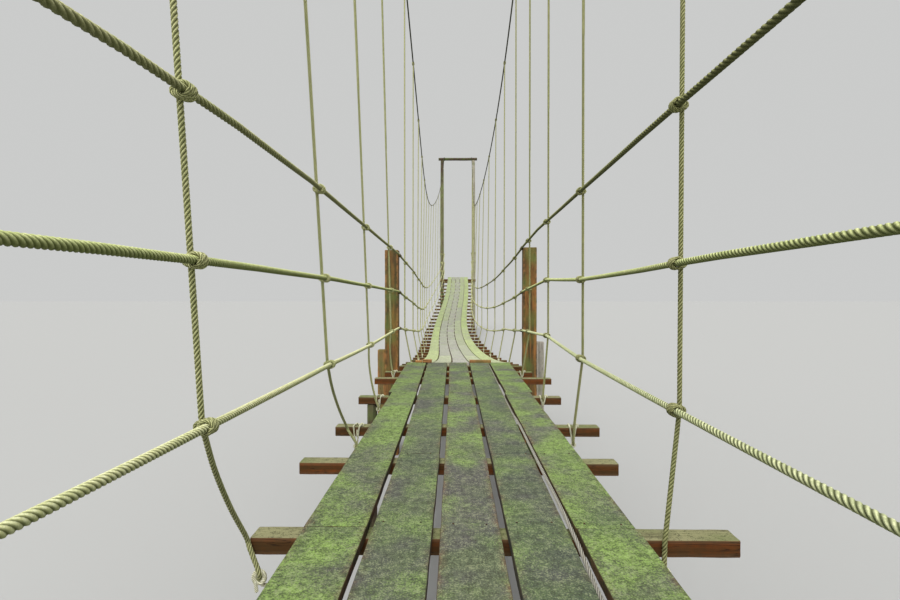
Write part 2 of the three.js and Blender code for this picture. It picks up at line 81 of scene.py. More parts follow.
# Boards of the level part, row by row: from, to, left edge at both ends, right edge at both ends
PLANK_THICK = 0.045
PLANK_WIDE = 0.25
PLANK_SPACING = 0.2708
NEAR_BOARDS = [
    [(DECK_START, 2.06, -0.683, -0.687, -0.425, -0.429), (2.06, 4.97, -0.69, -0.702, -0.428, -0.452),
     (4.97, KINK, -0.735, -0.772, -0.458, -0.497)],
    [(DECK_START, 3.03, -0.394, -0.404, -0.146, -0.157), (3.03, KINK, -0.402, -0.472, -0.16, -0.194)],
    [(DECK_START, 4.97, -0.104, -0.135, 0.136, 0.114), (4.97, KINK, -0.136, -0.162, 0.108, 0.088)],
    [(DECK_START, 3.03, 0.163, 0.153, 0.404, 0.398), (3.03, KINK, 0.152, 0.126, 0.396, 0.392)],
    [(DECK_START, 2.06, 0.436, 0.441, 0.677, 0.69), (2.06, 4.97, 0.437, 0.422, 0.684, 0.676),
     (4.97, KINK, 0.434, 0.416, 0.7, 0.7)],
]
ROW_MOSS = (0.62, 0.5, 0.4, 0.52, 0.62)
FAR_MOSS = 0.02  # added to a row's moss past the posts
ROW_DAMP = (0.06, 0.32, 0.05, 0.36, 0.04)
BOARD_JOINT = 0.003
BOARD_CUP = 0.002  # the most a board curls across
BOARD_SINK = 0.001  # a board stays at least this far below the deck's top
TIMBER_WEAR = 0.0012
# The boards are palest just past the posts; stations and how faded they are.
FADING = ([KINK - 0.01, KINK, 12.0, 20.0], [0.0, 1.0, 0.8, 0.5])

# Cross beams of the level part: station, left end, right end
BEAM_WIDE = 0.1
BEAM_TALL = 0.072
BEAM_HALF = 0.985
BEAM_SEAT = 0.0005  # how far the boards bed into their beams
NEAR_BEAMS = [
    (-0.65, -0.96, 1.0), (0.25, -1.0, 0.95), (1.17, -0.93, 1.04), (2.1, -0.91, 1.107), (3.03, -1.0, 0.91),
    (3.85, -0.983, 1.03), (4.97, -1.027, 0.972), (6.09, -1.053, 1.087), (6.6, -1.0, 0.934),
    (7.15, -0.872, 0.875),
]
# The wire rope: stations and how far out it is, then stations and its height from the top of the boards
WIRE_PLACES = ([-1.1, 1.72, 1.95, 2.2, 3.7, 3.95, 4.2, 4.97, KINK, 8.5],
               [0.418, 0.4195, 0.42, 0.4195, 0.415, 0.4145, 0.4135, 0.411, 0.4055, 0.4062])
WIRE_LIFTS = ([1.72, 1.95, 2.2, 3.7, 3.95, 4.2], [-0.0375, -0.015, -0.008, -0.008, -0.017, -0.0375])
WIRE_START = -1.1
WIRE_FINE_END = 5.0  # its strands are modelled up to here
WIRE_SHORT = 0.02  # how far before the far bearer it stops
WIRE_LAY = 0.14

# Rails above the planks: stations and heights, the last height holding to the far mast; then their lays
RAIL_X = 0.8885
NEAR_MAST = -1.4
FAR_MAST = 33.52
RAIL_HEIGHTS = {
    ("left", "low"): ([NEAR_MAST, 1.69, 3.45, 4.78, KINK, 9.6, 13.2, 16.8],
                      [0.557, 0.516, 0.501, 0.48, 0.496, 0.548, 0.515, 0.47]),
    ("right", "low"): ([NEAR_MAST, 2.18, 3.82, 5.25, KINK, 9.6, 13.2, 16.8],
                       [0.461, 0.46, 0.474, 0.539, 0.462, 0.574, 0.51, 0.463]),
    ("left", "middle"): ([NEAR_MAST, 1.17, 2.1, 3.45, KINK, 9.6, 13.2, 16.8],
                         [1.02, 1.068, 1.073, 1.069, 1.021, 1.085, 1.075, 1.01]),
    ("right", "middle"): ([NEAR_MAST, 1.8, 2.58, 3.82, 5.25, KINK, 9.6, 16.8],
                          [1.106, 1.101, 1.089, 1.08, 1.127, 1.021, 1.091, 1.095]),
    ("left", "top"): ([NEAR_MAST, 1.25, 1.9, 2.85, 4.78, KINK, 9.6, 13.2, 16.8, 20.4],
                      [1.37, 1.577, 1.604, 1.615, 1.59, 1.556, 1.7, 1.78, 1.71, 1.6]),
    ("right", "top"): ([NEAR_MAST, 2.6, 5.87, KINK, 9.6, 13.2, 16.8],
                       [1.776, 1.772, 1.733, 1.662, 1.747, 1.74, 1.67]),
}
RAIL_LAYS = {("left", "low"): 0.07, ("left", "middle"): 0.067, ("left", "top"): 0.11,
             ("right", "low"): 0.09, ("right", "middle"): 0.084, ("right", "top"): 0.11}
# The rails: how stained, how bleached past the posts and how shaded below, and the points of their section
RAIL_WEAR = {"low": (0.3, 0.75, 0.5, 20), "middle": (0.45, 0.75, 0.9, 16), "top": (0.5, 0.25, 0.9, 16)}
RAIL_SAG = 0.002
MAST_TURNS = 2.2
BAR_TURNS = 1.45
MAST_FLAT = math.cos(math.pi / 12)  # reach of the twelve flats of a mast, as a share of its corners'
MAST_TAPER = 0.8

# Hangers of the level part: station at the low rail, lean back for each metre up, beam, how far out it is at
# the top of that beam and at its knot, and how far below the top of the boards the knot hangs
HANGER_X = 0.9148
HANGER_LAY = 0.068
FAR_FOOT_X = 0.805
FOOT_REACH = 0.066
FOOT_SLACK = {"left": 0.018, "right": 0.0}
NEAR_HANGERS = {
    "left": [(-0.75, 0.03, 0, 0.88, 0.83, 0.18), (0.3, 0.08, 1, 0.88, 0.83, 0.18),
             (1.675, 0.12, 3, 0.919, 0.864, 0.203), (3.31, 0.22, 5, 0.894, 0.82, 0.188),
             (4.87, 0.22, 6, 0.861, 0.828, 0.16), (6.5, 0.19, 8, 0.9, 0.89, 0.075)],
    "right": [(-0.75, 0, 0, 0.83, 0.8, 0.18), (0.5, 0, 1, 0.83, 0.8, 0.18),
              (2.185, 0.01, 3, 0.792, 0.785, 0.18), (3.86, 0, 5, 0.832, 0.825, 0.17),
              (5.32, 0, 6, 0.79, 0.79, 0.075), (6.68, 0, 8, 0.8, 0.796, 0.075)],
}
CLOSEST_HANGERS = 3  # these and their hitches have the finest section
EYE_SLINGS_END = 3.0  # slings with an eye come before this station, tied ones after it
EYE_CORD_SHARE = 1.25  # how much thicker the cord of an eye is
STRANDS_REACH = 1.2  # a hanger's strands are modelled up to this far above the top rail
HITCH_LAY = 0.056
HITCH_START, HITCH_END, CABLE_HITCH_END = -2.5, 0.9, 2.0  # in turns from where the hanger is crossed
HITCH_PITCH = 1.04  # from turn to turn, in thicknesses
CROSSING = 0.62  # width of the bump where a turn crosses the hanger, as an angle
SLING_LAY = 0.03
BINDING_LAY = 0.04
AHEAD = 0.05  # how far on the point is that gives a line's direction

CABLE_LOW_STATION = 17.3
CABLE_LOW_TOP = 5.805
CABLE_CURVE = 0.022
CABLE_LAY = 0.09
HEAD_BAR_RADIUS = 0.095

# Battens over the joint at the posts: from, to, how wide and how tall
BATTENS = [(-0.65, -0.552, 0.05, 0.03), (-0.547, -0.416, 0.06, 0.042), (0.126, 0.435, 0.06, 0.036)]
STAPLE_ROD = 0.007
STAPLE_INSET = 0.04  # from the corner of a post
STAPLE_DEPTH = 0.012  # how far the legs go into a post
NAIL_INSET = 0.045  # from the edge of a near board
FAR_NAIL_OUT = 0.08  # from the middle of a far board
NAIL_SCATTER = 0.014
NAIL_SINK = 0.0012

# Where the viewer's eye is, and how far it looks to the left and down
EYE = (-0.053, VIEW_Y, 2.305)
EYE_YAW, EYE_PITCH = math.radians(0.8), math.radians(0.46)
FLOOR_HALF = 200.0

# Angles at which faces meet and still look sharp
BOARD_SHARP = 0.7
LOG_SHARP = 0.9
ROPE_SHARP = 1.2


def measure(name, what, value):
    return bpy.props.FloatProperty(name=name, description=what, default=value, unit="LENGTH")


def colour(name, what, value):
    return bpy.props.FloatVectorProperty(
        name=name, description=what, default=value, subtype="COLOR", size=3, min=0, max=1)


class FootbridgeSizes(bpy.types.PropertyGroup):
    """Sizes that a user may change without moving anything off the frame."""
    rail_rope: measure("Rail rope", "Thickness of the rope rails", 0.03)
    hanger_rope: measure("Hanger rope", "Thickness of the hangers", 0.022)
    hitch_cord: measure("Hitch cord", "Thickness of the hitches on the rails", 0.0142)
    sling_cord: measure("Sling cord", "Thickness of the slings round the beams", 0.013)
    cable_rope: measure("Main cable", "Thickness of the main cables", 0.026)
    wire_rope: measure("Wire rope", "Thickness of the wire between the boards", 0.018)
    board_round: measure("Board edge", "Radius worn on the edges of the boards", 0.006)
    nail_head: measure("Nail head", "Radius of a nail head", 0.0055)


class FootbridgeColours(bpy.types.PropertyGroup):
    """Colours of the finishes, as linear values."""
    board_green: colour("Board green", "Greenish stretches of the boards", (0.115, 0.14, 0.075))
    board_grey: colour("Board grey", "Bare stretches of the boards", (0.11, 0.1, 0.1))
    damp_grey: colour("Damp grey", "Dark bluish stretches of the boards", (0.06, 0.075, 0.06))
    board_side: colour("Board side", "Reddish sides of the boards", (0.11, 0.045, 0.022))
    side_stain: colour("Side stain", "Stains on the sides of the boards", (0.03, 0.016, 0.01))
    board_edge: colour("Board edge", "Worn edges of the boards", (0.17, 0.075, 0.05))
    board_crack: colour("Board crack", "Cracks in the boards", (0.02, 0.016, 0.014))
    speck_light: colour("Speck light", "Lichen on the boards", (0.4, 0.44, 0.24))
    speck_dark: colour("Speck dark", "Pits and dirt on the boards", (0.05, 0.053, 0.033))
    faded_grey: colour("Faded grey", "Bare boards past the posts", (0.6, 0.57, 0.52))
    faded_green: colour("Faded green", "Mossy boards past the posts", (0.67, 0.75, 0.36))
    moss_light: colour("Moss light", "Fresh moss", (0.29, 0.44, 0.1))
    moss_dark: colour("Moss dark", "Old moss", (0.11, 0.165, 0.04))
    beam_face: colour("Beam face", "Faces of the cross beams", (0.15, 0.045, 0.011))
    beam_streak: colour("Beam streak", "Streaks on the faces of the cross beams", (0.07, 0.034, 0.012))
    beam_stain: colour("Beam stain", "Stains on the faces of the cross beams", (0.05, 0.034, 0.014))
    beam_top: colour("Beam top", "Greyed tops of the cross beams", (0.28, 0.27, 0.14))
    beam_dirt: colour("Beam dirt", "Dirt on the tops of the cross beams", (0.09, 0.09, 0.05))
    beam_edge: colour("Beam edge", "Worn edges of the cross beams", (0.2, 0.17, 0.11))
    beam_crack: colour("Beam crack", "Cracks in the cross beams", (0.015, 0.01, 0.008))
    post_face: colour("Post", "Reddish brown posts", (0.3, 0.13, 0.035))
    post_streak: colour("Post streak", "Streaks on the posts", (0.07, 0.05, 0.02))
    stub_streak: colour("Stub streak", "Streaks on the brown stub pile", (0.16, 0.12, 0.05))
    pale_stub: colour("Pale stub", "Grey stub pile", (0.42, 0.38, 0.32))
    pale_stub_streak: colour("Pale stub streak", "Streaks on the grey stub pile", (0.22, 0.2, 0.17))
    pale_log: colour("Pale log", "Pale masts", (0.52, 0.5, 0.4))
    pale_log_streak: colour("Pale log streak", "Streaks on the pale masts", (0.27, 0.24, 0.17))
    dark_log: colour("Dark log", "Dark masts, head bars and piles", (0.11, 0.07, 0.045))
    dark_log_streak: colour("Dark log streak", "Streaks on the dark logs and piles", (0.05, 0.035, 0.025))
    batten: colour("Batten", "Fresh battens at the posts", (0.5, 0.24, 0.08))
    batten_streak: colour("Batten streak", "Streaks on the battens", (0.16, 0.07, 0.03))
    low_rail_left: colour("Low rail left", "Low rail on the left", (1.0, 1.0, 0.52))
    low_rail_right: colour("Low rail right", "Low rail on the right", (0.76, 0.8, 0.44))
    middle_rail_left: colour("Middle rail left", "Middle rail on the left", (0.88, 0.95, 0.4))
    middle_rail_right: colour("Middle rail right", "Middle rail on the right", (0.78, 0.84, 0.37))
    top_rail_left: colour("Top rail left", "Top rail on the left", (0.85, 0.83, 0.42))
    top_rail_right: colour("Top rail right", "Top rail on the right", (0.46, 0.46, 0.2))
    hangers_left: colour("Hangers left", "Hangers and hitches on the left", (0.78, 0.77, 0.38))
    hangers_right: colour("Hangers right", "Hangers and hitches on the right", (0.56, 0.55, 0.25))
    knots: colour("Knots", "Pale slings and knots at the beams", (1.0, 0.97, 0.66))
    bleached: colour("Bleached", "Ropes past the posts", (0.7, 0.68, 0.36))
    cable: colour("Main cable", "Main cables", (0.09, 0.09, 0.05))
    wire: colour("Wire rope", "Steel wire rope", (0.62, 0.6, 0.5))
    wire_dirt: colour("Wire dirt", "Dirt in the grooves of the wire rope", (0.04, 0.035, 0.03))
    rust: colour("Rust", "Nails, staples and specks on the wire rope", (0.1, 0.04, 0.018))
    rust_pit: colour("Rust pit", "Pits in the nails and staples", (0.03, 0.02, 0.016))


# Heights and places along the bridge

def deck_top(s):
    """Level as far as the posts, then a parabola through its lowest point."""
    sagging = DECK_TOP - LOW_DROP + LOW_DROP * ((s - LOW_POINT) / (KINK - LOW_POINT)) ** 2
    return np.where(s <= KINK, DECK_TOP, sagging)


def deck_slope(s):
    return 0.0 if s <= KINK else 2 * LOW_DROP * (s - LOW_POINT) / (KINK - LOW_POINT) ** 2


def directions(slope):
    """Along a slope and at right angles to it."""
    return np.array([0, 1, slope]) / math.hypot(1, slope), np.array([0, -slope, 1]) / math.hypot(1, slope)


def bow(s):
    """Sideways swing of the sagging part: the square of a half sine wave from its first beam to its last."""
    share = np.clip((s - BOW_START) / BOW_LENGTH, 0, 1)
    return -BOW * np.sin(math.pi * share) ** 2


def rail_height(hand, level, s):
    """Height over the planks by the rail's table, less a parabola of sag from each hanger to the next."""
    hangers = [low for low, *_ in NEAR_HANGERS[hand]]
    held = np.array([NEAR_MAST, *hangers, *FAR_BEAMS[::2], FAR_MAST])
    index = np.clip(np.searchsorted(held, s) - 1, 0, len(held) - 2)
    share = np.clip((s - held[index]) / (held[index + 1] - held[index]), 0, 1)
    return np.interp(s, *RAIL_HEIGHTS[hand, level]) - RAIL_SAG * 4 * share * (1 - share)


def rail_point(hand, level, s):
    s = np.asarray(s, float)
    height = deck_top(s) + rail_height(hand, level, s)
    return np.stack([HANDS[hand] * RAIL_X + bow(s), VIEW_Y + s, height], -1)


def cable_point(hand, s):
    """The main cable is a parabola from the side and bows by a share of the deck's bow."""
    s = np.asarray(s, float)
    height = CABLE_LOW_TOP + CABLE_CURVE * (s - CABLE_LOW_STATION) ** 2
    return np.stack([HANDS[hand] * HANGER_X + CABLE_BOW_SHARE * bow(s), VIEW_Y + s, height], -1)


def box_of(name):
    """Low corner, high corner and middle of a node's box."""
    low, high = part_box(name)
    return low, high, (low + high) / 2


# Surfaces

def ripple(seed, wave, *axes):
    """Sum of eight sine waves near one wave length, each with a seeded direction over the axes and start."""
    rng = np.random.default_rng(seed)
    total = 0
    for _ in range(8):
        way = rng.normal(size=len(axes))
        way *= rng.uniform(0.6, 1.6) * TURN / wave / np.linalg.norm(way)
        total = total + np.sin(sum(w * a for w, a in zip(way, axes)) + rng.uniform(0, TURN))
    return total / 4


def unit(vectors):
    return vectors / np.linalg.norm(vectors, axis=-1, keepdims=True)


def circle(angle):
    return np.stack([np.sin(angle), np.cos(angle)], -1)


def arc_length(path):
    return np.concatenate([[0], np.cumsum(np.linalg.norm(np.diff(path, axis=0), axis=1))])


def at_lengths(path, wanted):
    """Points of a path at the wanted lengths along it."""
    arc = arc_length(path)
    return np.stack([np.interp(wanted, arc, path[:, k]) for k in range(3)], -1)


def evenly(path, step):
    """The same path with its points spaced evenly, about one step apart."""
    path = np.asarray(path, float)
    length = arc_length(path)[-1]
    return at_lengths(path, np.linspace(0, length, max(3, int(math.ceil(length / step)) + 1)))


def with_ends(path, step, end):
    """Lengths along a path and its points there, about one step apart, with one more close to each end."""
    path = evenly(path, step)
    arc = arc_length(path)
    rows = np.concatenate([[0, end], arc[1:-1], [arc[-1] - end, arc[-1]]])
    return rows, at_lengths(path, rows)


def curve(points, step):
    """Catmull-Rom curve through given points, then spaced evenly."""
    p = np.asarray(points, float)
    p = np.vstack([2 * p[0] - p[1], p, 2 * p[-1] - p[-2]])
    t = np.linspace(0, 1, 12, endpoint=False)[:, None]
    a, b, c, d = (p[k:len(p) - 3 + k, None] for k in range(4))
    spans = b + t / 2 * (c - a + t * (2 * a - 5 * b + 4 * c - d + t * (3 * (b - c) + d - a)))
    return evenly(np.vstack([spans.reshape(-1, 3), p[-2]]), step)


class Shape:
    """Closed surfaces gathered before they go into one mesh."""

    def __init__(self):
        self.points, self.quads, self.tris = [], [], []
        self.quad_uv, self.tri_uv, self.marks = [], [], {}
        self.count = 0

    def add(self, grid, u=None, twist=0.0, **marks):
        """Takes points in rows along and columns round, closes it round and closes each end to its middle.
        u is one value a row; v goes round from 0 to 1, less the twist times u. Marks are values at points."""
        rows, cols = grid.shape[:2]
        if u is None:
            u = arc_length(grid[:, 0])
        number = self.count + np.arange(rows * cols).reshape(rows, cols)
        after = np.roll(number, -1, axis=1)
        first = self.count + rows * cols
        self.quads.append(np.stack([number[:-1], after[:-1], after[1:], number[1:]], -1).reshape(-1, 4))
        self.tris += [np.stack([np.full(cols, first), after[0], number[0]], -1),
                      np.stack([np.full(cols, first + 1), number[-1], after[-1]], -1)]
        v = np.arange(cols + 1) / cols - twist * u[:, None]
        uv = np.stack([np.broadcast_to(u[:, None], v.shape), v], -1)
        self.quad_uv.append(np.stack([uv[:-1, :-1], uv[:-1, 1:], uv[1:, 1:], uv[1:, :-1]], 2).reshape(-1, 2))
        start, end = uv[0], uv[-1]
        self.tri_uv += [np.stack([start[:-1], start[1:], start[:-1]], 1).reshape(-1, 2),
                        np.stack([end[:-1], end[:-1], end[1:]], 1).reshape(-1, 2)]
        self.points += [grid.reshape(-1, 3), grid[[0, -1]].mean(axis=1)]
        for name, value in marks.items():
            value = np.broadcast_to(value, (rows, cols))
            middles = [value[0].mean(), value[-1].mean()]
            self.marks.setdefault(name, []).append(np.concatenate([value.ravel(), middles]))
        self.count += rows * cols + 2

    def build(self, name, material, slot, *nodes, sharp=ROPE_SHARP):
        """Puts the surfaces into a mesh object that rides the bridge and stands for the named nodes."""
        quads, tris = np.vstack(self.quads), np.vstack(self.tris)
        corners = np.concatenate([quads.ravel(), tris.ravel()])
        starts = np.concatenate([np.arange(len(quads)) * 4, quads.size + np.arange(len(tris)) * 3])
        mesh = bpy.data.meshes.new(name)
        mesh.vertices.add(self.count)
        mesh.vertices.foreach_set("co", np.vstack(self.points).astype(np.float32).ravel())
        mesh.loops.add(len(corners))
        mesh.loops.foreach_set("vertex_index", corners.astype(np.int32))
        mesh.polygons.add(len(starts))
        mesh.polygons.foreach_set("loop_start", starts.astype(np.int32))
        uv = mesh.uv_layers.new(name="Lay")
        uv.data.foreach_set("uv", np.vstack(self.quad_uv + self.tri_uv).astype(np.float32).ravel())
        for mark, values in self.marks.items():
            layer = mesh.attributes.new(mark, "FLOAT", "POINT")
            layer.data.foreach_set("value", np.concatenate(values).astype(np.float32))
        mesh.update(calc_edges=True)
        mesh.validate()
        mesh.shade_smooth()
        mesh.set_sharp_from_angle(angle=sharp)
        mesh.materials.append(material)
        piece = bpy.data.objects.new(name, mesh)
        bpy.context.scene.collection.objects.link(piece)
        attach(piece, "root")
        if nodes:
            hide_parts(*nodes)


def carried(path, ring, upright=UP):
    """Offsets to the side and up, one ring a row, carried along a path. Side is at right angles to the path
    and the upright direction, and up is at right angles to both."""
    along = unit(np.gradient(path, axis=0))
    side = unit(np.cross(along, upright))
    up = np.cross(side, along)
    return path[:, None] + ring[..., :1] * side[:, None] + ring[..., 1:] * up[:, None]


def laid_ring(radius, turns, strands, cols):
    """Outline of a laid rope: round each strand the radius is d cos a + sqrt(r^2 - d^2 sin^2 a), where a is
    the angle from the strand's middle, and the whole outline turns once in each lay."""
    angle = TURN * (np.arange(cols) / cols)
    near = (angle % (TURN / strands)) - TURN / strands / 2
    out = radius * (0.74 if strands > 4 else 0.42)
    strand = radius - out
    reach = np.maximum(strand ** 2 - (out * np.sin(near)) ** 2, (0.3 * strand) ** 2)
    size = out * np.cos(near) + np.sqrt(reach)
    return size[None, :, None] * circle(angle + TURN * turns[:, None])


def rope(shape, path, thick, lay, upright=UP, strands=4, cols=16, rings=10, fine=True, step=0.1):
    """A laid rope along a path; far from any viewer it is a plain tube with the same lay in its map."""
    path = evenly(path, lay / rings if fine else step)
    turns = arc_length(path) / lay
    if fine:
        ring = laid_ring(thick / 2, turns, strands, cols)
    else:
        ring = np.broadcast_to(thick / 2 * circle(TURN * np.arange(8) / 8), (len(path), 8, 2))
    shape.add(carried(path, ring, upright), u=turns, twist=0.0 if fine else 1.0)


def outline(wide, tall, worn, top=5, flank=3, bottom=5):
    """Rectangle with rounded corners, its top at height 0, listed from the top middle by the +side round."""
    half = wide / 2 - worn
    quarter = np.linspace(0, math.pi / 2, 4)
    centres = [(half, -worn), (half, worn - tall), (-half, worn - tall), (-half, -worn)]
    arcs = [np.array(centre) + worn * circle(quarter + k * math.pi / 2) for k, centre in enumerate(centres)]

    def run(start, end, count):
        share = np.linspace(0, 1, count + 2)[1:-1, None]
        return np.array(start) * (1 - share) + np.array(end) * share

    right_top = run((0, 0), arcs[0][0], top // 2)
    return np.vstack([
        [(0.0, 0.0)], right_top, arcs[0], run(arcs[0][-1], arcs[1][0], flank), arcs[1],
        run(arcs[1][-1], arcs[2][0], bottom), arcs[2], run(arcs[2][-1], arcs[3][0], flank), arcs[3],
        right_top[::-1] * (-1, 1)])


def section(wide, tall, worn, reach, top=5):
    """Outline of a timber and its edge mark: 1 on the corners, falling to 0 at a reach from them."""
    ring = outline(wide, tall, worn, top)
    x = wide / 2 - np.abs(ring[:, 0])
    z = np.minimum(np.abs(ring[:, 1]), np.abs(ring[:, 1] + tall))
    return ring, np.clip(1 - (x + z) / reach, 0, 1)


def timber(shape, path, ring, seed, upright=UP, step=0.05, worn=0.0015, chamfer=0.004, widths=None, **marks):
    """A section carried along a path, its ends chamfered, with a long ripple of wear over its faces."""
    rows, path = with_ends(path, step, chamfer)
    middle = ring.mean(axis=0)
    rings = np.broadcast_to(ring, (len(rows), *ring.shape)).copy()
    if widths is not None:
        rings[..., 0] *= np.interp(rows / rows[-1], [0, 1], widths)[:, None]
    rough = ripple(seed, 0.35, rows[:, None], 3 * ring[:, 0], 3 * ring[:, 1])
    rough = rough + 0.5 * ripple(seed + 7, 0.09, rows[:, None], ring[:, 0], ring[:, 1])
    rings += worn * rough[..., None] * unit(ring - middle)
    rings[[0, -1]] = middle + (rings[[0, -1]] - middle) * (1 - chamfer / np.abs(ring - middle).max())
    shape.add(carried(path, rings, upright), **marks)


def log(path, radii, seed, cols=32, upright=ALONG):
    """A round log: its radius runs evenly from end to end, with swells, bark ridges and worn ends."""
    rows, path = with_ends(path, 0.12, 0.01)
    angle = TURN * np.arange(cols) / cols
    radius = np.interp(rows, [0, rows[-1]], radii)[:, None]
    swell = ripple(seed, 0.9, rows[:, None], 0.3 * np.sin(angle), 0.3 * np.cos(angle))
    ridge = ripple(seed + 3, 0.25, 0.2 * rows[:, None], 0.4 * np.sin(angle), 0.4 * np.cos(angle))
    size = radius + 0.004 * (swell + 0.6 * ridge - 1.3)
    size[[0, -1]] -= 0.008
    shape = Shape()
    shape.add(carried(path, size[..., None] * circle(angle), upright), edge=0.0)
    return shape


# Node groups and materials

def node(tree, kind, given, **settings):
    """Adds a node, sets it and fills its inputs with values of the tree or plain ones."""
    new = tree.nodes.new(kind)
    for name, value in settings.items():
        setattr(new, name, value)
    for name, value in given.items():
        socket = new.inputs[name]
        if isinstance(value, Value):
            tree.links.new(value.socket, socket)
        elif socket.type == "RGBA":
            socket.default_value = (*value[:3], 1)
        else:
            socket.default_value = value
    return new


class Value:
    """A value in a node tree. Sums and products of values add the math nodes that work them out."""

    def __init__(self, tree, socket):
        self.tree, self.socket = tree, socket

    def node(self, kind, given, output=0, **settings):
        return Value(self.tree, node(self.tree, kind, given, **settings).outputs[output])

    def math(self, operation, other=0.0):
        return self.node("ShaderNodeMath", {0: self, 1: other}, operation=operation)

    def __add__(self, other):
        return self.math("ADD", other)

    def __sub__(self, other):
        return self.math("SUBTRACT", other)

    def __rsub__(self, other):
        return self.node("ShaderNodeMath", {0: other, 1: self}, operation="SUBTRACT")

    def __mul__(self, other):
        return self.math("MULTIPLY", other)

    def step(self, low, high):
        """0 below low, 1 above high, smooth between."""
        return self.node("ShaderNodeMapRange", {"Value": self, "From Min": low, "From Max": high},
                         interpolation_type="SMOOTHSTEP")

    def mix(self, a, b):
        """The colour a where this value is 0 and b where it is 1."""
        return self.node("ShaderNodeMix", {0: self, 6: a, 7: b}, 2, data_type="RGBA")

    def noise(self, scale, detail, rough=0.6, distortion=0.0):
        return self.node("ShaderNodeTexNoise", {
            "Vector": self, "Scale": scale, "Detail": detail, "Roughness": rough, "Distortion": distortion})

    def part(self, axis):
        return self.node("ShaderNodeSeparateXYZ", {0: self}, axis)

    def mark(self, name):
        """The mark of that name on the surface."""
        return self.node("ShaderNodeAttribute", {}, "Fac", attribute_name=name)

    def lay(self):
        """Turns along a rope and the place round it."""
        return self.node("ShaderNodeUVMap", {}, uv_map="Lay")

    def upward(self):
        """How far the surface faces up, from -1 to 1."""
        return self.node("ShaderNodeNewGeometry", {}, "Normal").part(2)

    def turned(self, rotation):
        return self.node("ShaderNodeMapping", {"Vector": self, "Rotation": rotation})

    def use(self, effect, *given):
        """Places a shared effect with this value as its first input and gives its outputs, both in the order
        of the table of effects. Its node group is made at its first use."""
        fill, inputs, outputs = EFFECTS[effect]
        group = bpy.data.node_groups.get(effect)
        if group is None:
            group = bpy.data.node_groups.new(effect, "ShaderNodeTree")
            for name in inputs:
                kind = "NodeSocketVector" if name in ("Place", "Lay") else "NodeSocketFloat"
                group.interface.new_socket(name, in_out="INPUT", socket_type=kind)
            for name in outputs:
                group.interface.new_socket(name, in_out="OUTPUT", socket_type="NodeSocketFloat")
            taken = group.nodes.new("NodeGroupInput").outputs
            result = group.nodes.new("NodeGroupOutput").inputs
            for name, value in zip(outputs, fill(*(Value(group, taken[name]) for name in inputs))):
                group.links.new(value.socket, result[name])
        placed = node(self.tree, "ShaderNodeGroup", dict(zip(inputs, (self, *given))), node_tree=group)
        return [Value(self.tree, placed.outputs[name]) for name in outputs]


def timber_grain(place):
    """Long streaks: noise stretched twenty-five times along the timber, with finer fibres and cracks."""
    place = place.node("ShaderNodeVectorMath", {0: place, 1: (1, 0.04, 1)}, operation="MULTIPLY")
    streak = place.noise(22, 5, 0.6, 0.6)
    fibre = place.noise(150, 3)
    crack = place.noise(48, 2, 0.5, 1.2)
    split = 1 - (crack - 0.5).math("ABSOLUTE").step(0.0, 0.02)
    return streak.step(0.35, 0.65), fibre, split, fibre * 0.5 + streak - split * 0.6


def moss_growth(place, amount):
    """Patches a hand or two wide, thinned by clumps and tufts; the amount sets how much they cover."""
    patch, tuft, clump = place.noise(3.4, 2, 0.5), place.noise(110, 3, 0.7), place.noise(20, 3)
    growth = patch * 2.5 + tuft * 0.7 + clump * 0.2
    mask = (growth + amount - 2.28).step(-0.45, 0.5)
    return mask, (clump * 0.35 + tuft * 0.65).step(0.4, 0.6), mask * (tuft + 0.4)


def fine_speckle(place):
    """Specks half a centimetre across among blots of two centimetres: light where the sum is high, dark where
    it is low."""
    both = place.noise(150, 3, 0.7) * 0.6 + place.noise(42, 3, 0.65) * 0.4
    return both.step(0.5, 0.6), both.step(0.49, 0.4), both


def laid_rope(lay, strands):
    """The groove between strands is where cos of the strand angle is high; yarns are fine lines that keep
    their place round the rope while the strands turn."""
    along, round_it = lay.part(0), lay.part(1)
    groove = (round_it * (strands * TURN)).math("COSINE") * 0.5 + 0.5
    yarn = ((along + round_it) * (40 * TURN)).math("SINE") * 0.5 + 0.5
    return groove.math("POWER", 2.2), yarn, yarn * 0.16 + (1 - groove)


def weather_blotches(place, scale):
    """Two sizes of soft patches, for stains and fading."""
    return place.noise(scale, 3).step(0.38, 0.62), place.noise(scale * 7.0, 4, 0.65).step(0.35, 0.65)


EFFECTS = {
    "Timber grain": (timber_grain, ["Place"], ["Streak", "Fibre", "Split", "Height"]),
    "Moss growth": (moss_growth, ["Place", "Amount"], ["Mask", "Bright", "Height"]),
    "Fine speckle": (fine_speckle, ["Place"], ["Light", "Dark", "Height"]),
    "Laid rope": (laid_rope, ["Lay", "Strands"], ["Groove", "Yarn", "Height"]),
    "Weather blotches": (weather_blotches, ["Place", "Scale"], ["Broad", "Small"]),
}
GRAIN_TURNS = {"x": (0, 0, math.pi / 2), "z": (math.pi / 2, 0, 0)}


def finish(name, fill):
    """A material whose Principled shader is filled by a function of the place on the bridge; made once."""
    if name in bpy.data.materials:
        return bpy.data.materials[name]
    material = bpy.data.materials.new(name)
    material.use_nodes = True
    tree = material.node_tree
    tree.nodes.clear()
    parts = fill(Value(tree, node(tree, "ShaderNodeTexCoord", {}).outputs["Object"]))
    bump = node(tree, "ShaderNodeBump", {
        "Height": parts.pop("Height"), "Strength": 0.6, "Distance": parts.pop("Depth")})
    shader = node(tree, "ShaderNodeBsdfPrincipled", {"Specular IOR Level": 0.22, **parts})
    tree.links.new(bump.outputs[0], shader.inputs["Normal"])
    tree.links.new(shader.outputs[0], node(tree, "ShaderNodeOutputMaterial", {}).inputs["Surface"])
    return material


def tints():
    return bpy.context.scene.footbridge_colours


